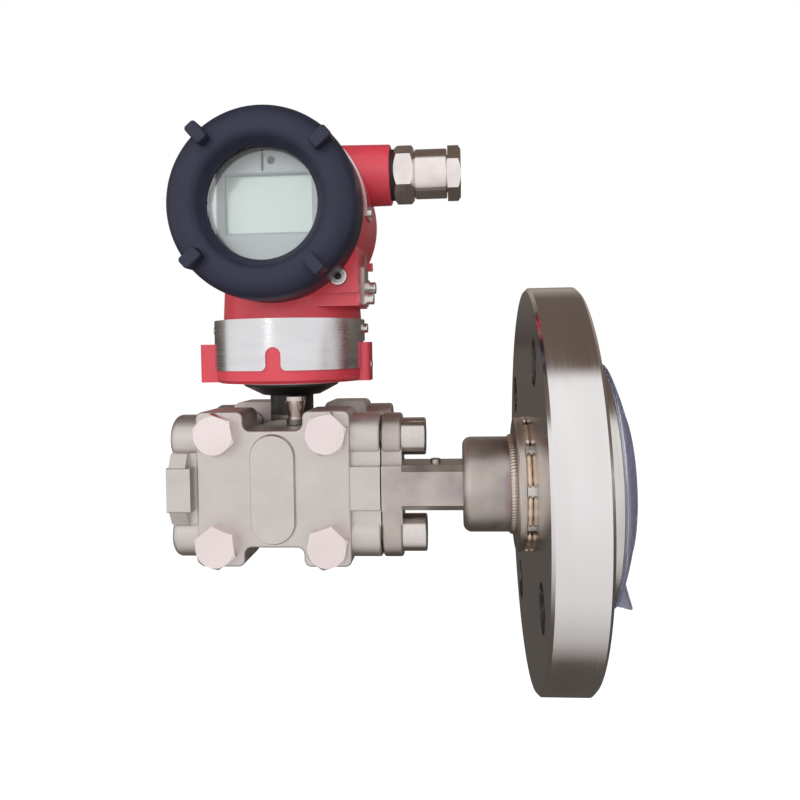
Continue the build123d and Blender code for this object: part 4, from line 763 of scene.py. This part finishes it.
# Covers
# Two aluminium castings, powder coated a dark blue-black, screw onto the barrel by hand. The front one
# is a fat ring with four grip lugs, left bare of lettering. Its thread inside is cut in bare metal, though
# here the whole cover takes the one coat.
cover_finish = moulded("navy_powder_coat", (0.022, 0.024, 0.046), (0.017, 0.019, 0.037), (0.42, 0.52),
                       size=0.6, rise=0.00002, edge=0.2, centre=barrel_centre, axis="Y", shine=0.3)
dress(cover_finish, "front_cover", "rear_cover")

# Window glass and its ring
# A flat disc of clear toughened glass lies against the cover's lip. A black anodised ring with two
# spanner notches is screwed in behind it.
glass_finish, glass_tree, glass_face = blank_finish("clear_glass")
glass_here = placed(glass_tree, "Y", barrel_centre)
glass_smear = effect(glass_tree, "cast", Place=glass_here, Size=0.8)
glass_rough = spread(glass_tree, glass_smear.outputs["Cloud"], 0.0, 0.004)
glass_tree.links.new(glass_rough, glass_face.inputs["Roughness"])
glass_face.inputs["Base Color"].default_value = (0.95, 0.98, 0.97, 1)
glass_face.inputs["Transmission Weight"].default_value = 1.0
glass_face.inputs["IOR"].default_value = 1.5
light_path = put(glass_tree, "LightPath")
let_through = put(glass_tree, "BsdfTransparent", {"Color": (0.93, 0.96, 0.95, 1)})
not_seen = calc(glass_tree, "MAXIMUM", light_path.outputs["Is Shadow Ray"],
                light_path.outputs["Is Diffuse Ray"])
glass_mix = put(glass_tree, "MixShader", {0: not_seen, 1: glass_face.outputs[0], 2: let_through.outputs[0]})
glass_tree.links.new(glass_mix.outputs[0], glass_tree.nodes["Material Output"].inputs[0])
ring_finish = metal("black_anodised_ring", (0.06, 0.06, 0.065), (0.04, 0.04, 0.045), (0.3, 0.4), axis="Y",
                    centre=barrel_centre, edge=0.3)
dress(glass_finish, "window_glass")
dress(ring_finish, "glass_ring")

# Display
# A pale grey moulded bezel frames a liquid crystal panel that is switched off, so it is an even pale
# green. The boards stand on brass posts behind it.
bezel_finish = moulded("grey_bezel_plastic", (0.37, 0.38, 0.415), (0.33, 0.34, 0.37), (0.38, 0.5), size=0.4,
                       rise=0.000008, edge=0.3)
screen_finish = moulded("unlit_panel", (0.43, 0.49, 0.465), (0.40, 0.46, 0.44), (0.12, 0.2), size=3.0,
                        rise=0.0000003, coat=0.6)
brass_finish = metal("turned_brass", (0.78, 0.60, 0.28), (0.62, 0.45, 0.18), (0.22, 0.34), axis="Y",
                     edge=0.4)
dress(bezel_finish, "display_bezel")
dress(screen_finish, "lcd_panel")
dress(brass_finish, "board_standoffs", "terminal_screws")

# Terminal block
# A black moulded block on the wall of the rear chamber, with a slot and a brass screw for each wire.
block_finish = moulded("black_terminal_plastic", (0.035, 0.035, 0.037), (0.025, 0.025, 0.027), (0.4, 0.55),
                       edge=0.3)
dress(block_finish, "terminal_block")

# Cable gland and blanking plug
# Nickel plated brass: a hexagon with a long barrel on the right entry, and a nut that squeezes a rubber
# insert round the cable. The left entry is closed by a plug. No cable is shown, so none is fitted.
gland_finish = metal("nickel_plate", (0.94, 0.89, 0.87), (0.82, 0.76, 0.74), (0.12, 0.22), axis="X",
                     centre=(0, 32, 139.7), size=0.4, rise=0.000005, edge=0.5)
thrust_finish = moulded("black_thrust_plastic", (0.03, 0.03, 0.03), (0.02, 0.02, 0.02), (0.4, 0.5))
dress(gland_finish, "gland_body", "gland_nut", "blanking_plug")
dress(thrust_finish, "gland_ring")


# Protective cap
# A thin shell of clear blue plastic is pressed over the seal for transport. It has moulded rings on its
# dome and a pull tab that hangs below the rim. It is pulled off before the instrument is mounted.
def dome(radius, top, edge, rim):
    """Height of a circular arc at radius, with its top on the axis and its edge at the rim radius."""
    rise = top - edge
    sphere = (rise ** 2 + rim ** 2) / (2 * rise)
    return top - sphere + np.sqrt(sphere ** 2 - radius ** 2)


cap_rim = 50.5
cap_foot = 10.6
cap_shoulder = 12.0
cap_top = 23.0
cap_wall = 1.2
cap_inner = cap_rim - cap_wall
ring_radii = (18, 33)
ring_high = 0.35
ring_wide = 1.1
ring_room = 0.4
inner_drop = 0.4
lip_round = 0.2
lip_high = 0.25
outer_radius = np.linspace(0, cap_rim, 120)
step_rings = ring_high * sum(np.exp(-((outer_radius - place) / ring_wide) ** 2) for place in ring_radii)
outer_x = dome(outer_radius, cap_top, cap_shoulder, cap_rim) - ring_room + step_rings
inner_radius = np.linspace(cap_inner, 0, 60)
inner_x = dome(inner_radius, cap_top - cap_wall, cap_shoulder - inner_drop, cap_inner) - ring_room
rim_radius = np.array([cap_rim, cap_rim - lip_round, cap_inner + lip_round, cap_inner])
rim_x = np.array([cap_foot + lip_high, cap_foot, cap_foot, cap_foot + lip_high])
profile_x = np.concatenate([outer_x, rim_x, inner_x])
profile_radius = np.concatenate([outer_radius, rim_radius, inner_radius])
cap_turn = np.linspace(0, 2 * math.pi, 192, endpoint=False)[:, None]
cap_grid = np.stack([profile_x + 0 * cap_turn, profile_radius * np.sin(cap_turn),
                     -profile_radius * np.cos(cap_turn)], -1) / 1000
cap_finish, cap_tree, cap_face = blank_finish("clear_blue_plastic")
cap_here = placed(cap_tree, "X")
cap_skin = effect(cap_tree, "cast", Place=cap_here, Size=1.2)
cap_lines = effect(cap_tree, "turned", Place=cap_here, Pitch=1.4)
cap_drift = spread(cap_tree, cap_lines.outputs["Drift"], 0, 1)
cap_pale = blend(cap_tree, cap_drift, (0.84, 0.86, 0.95), (0.88, 0.90, 0.97))
cap_slant = put(cap_tree, "LayerWeight", {"Blend": 0.3})
cap_tree.links.new(blend(cap_tree, cap_slant.outputs["Facing"], cap_pale, (0.38, 0.41, 0.80)),
                   cap_face.inputs["Base Color"])
cap_tree.links.new(spread(cap_tree, cap_skin.outputs["Cloud"], 0.16, 0.3), cap_face.inputs["Roughness"])
cap_tree.links.new(raised(cap_tree, cap_lines.outputs["Line"], 0.00001), cap_face.inputs["Normal"])
cap_face.inputs["Transmission Weight"].default_value = 0.92
cap_face.inputs["IOR"].default_value = 1.3
piece("blue_cap_dome", grid_mesh("blue_cap_dome", cap_grid, close_rows=True), cap_finish, "cap",
      "blue_cap", "protective_cap")

tab_root_x = 17.2
tab_root_z = -34.0
tab_lean = 2.8
tab_fall = 19.1
tab_twist_x = 0.17
tab_twist_z = 0.26
tab_half_root = 8.2
tab_flare = 1.0
tab_corner_cut = 1.2
tab_corner_share = 0.07
tab_end_share = 0.06
tab_half_thick = 0.5
tab_square = 0.12
tab_along = np.linspace(0, 1, 25)[:, None]
tab_section = np.linspace(0, 2 * math.pi, 40, endpoint=False)[None, :]
tab_corner = np.clip(tab_along - 1 + tab_corner_share, 0, 1) / tab_corner_share
tab_half_wide = tab_half_root + tab_flare * tab_along - tab_corner_cut * tab_corner ** 2
tab_cos = np.cos(tab_section)
tab_sin = np.sin(tab_section)
tab_y = tab_half_wide * np.sign(tab_cos) * np.abs(tab_cos) ** tab_square
tab_near_end = np.clip(np.abs(2 * tab_along - 1) - 1 + tab_end_share, 0, 1) / tab_end_share
tab_end = np.sqrt(np.clip(1 - tab_near_end ** 2, 0, 1))
tab_thick = tab_half_thick * tab_end * np.sign(tab_sin) * np.abs(tab_sin) ** 0.5
tab_x = tab_root_x + (tab_lean - tab_twist_x * tab_y) * tab_along + tab_thick
tab_z = tab_root_z - (tab_fall + tab_twist_z * tab_y) * tab_along
tab_grid = np.stack([tab_x, tab_y, tab_z], -1) / 1000
tab_mesh = grid_mesh("blue_cap_tab", tab_grid, close_columns=True)
piece("blue_cap_tab", tab_mesh, cap_finish, "cap", "blue_cap")
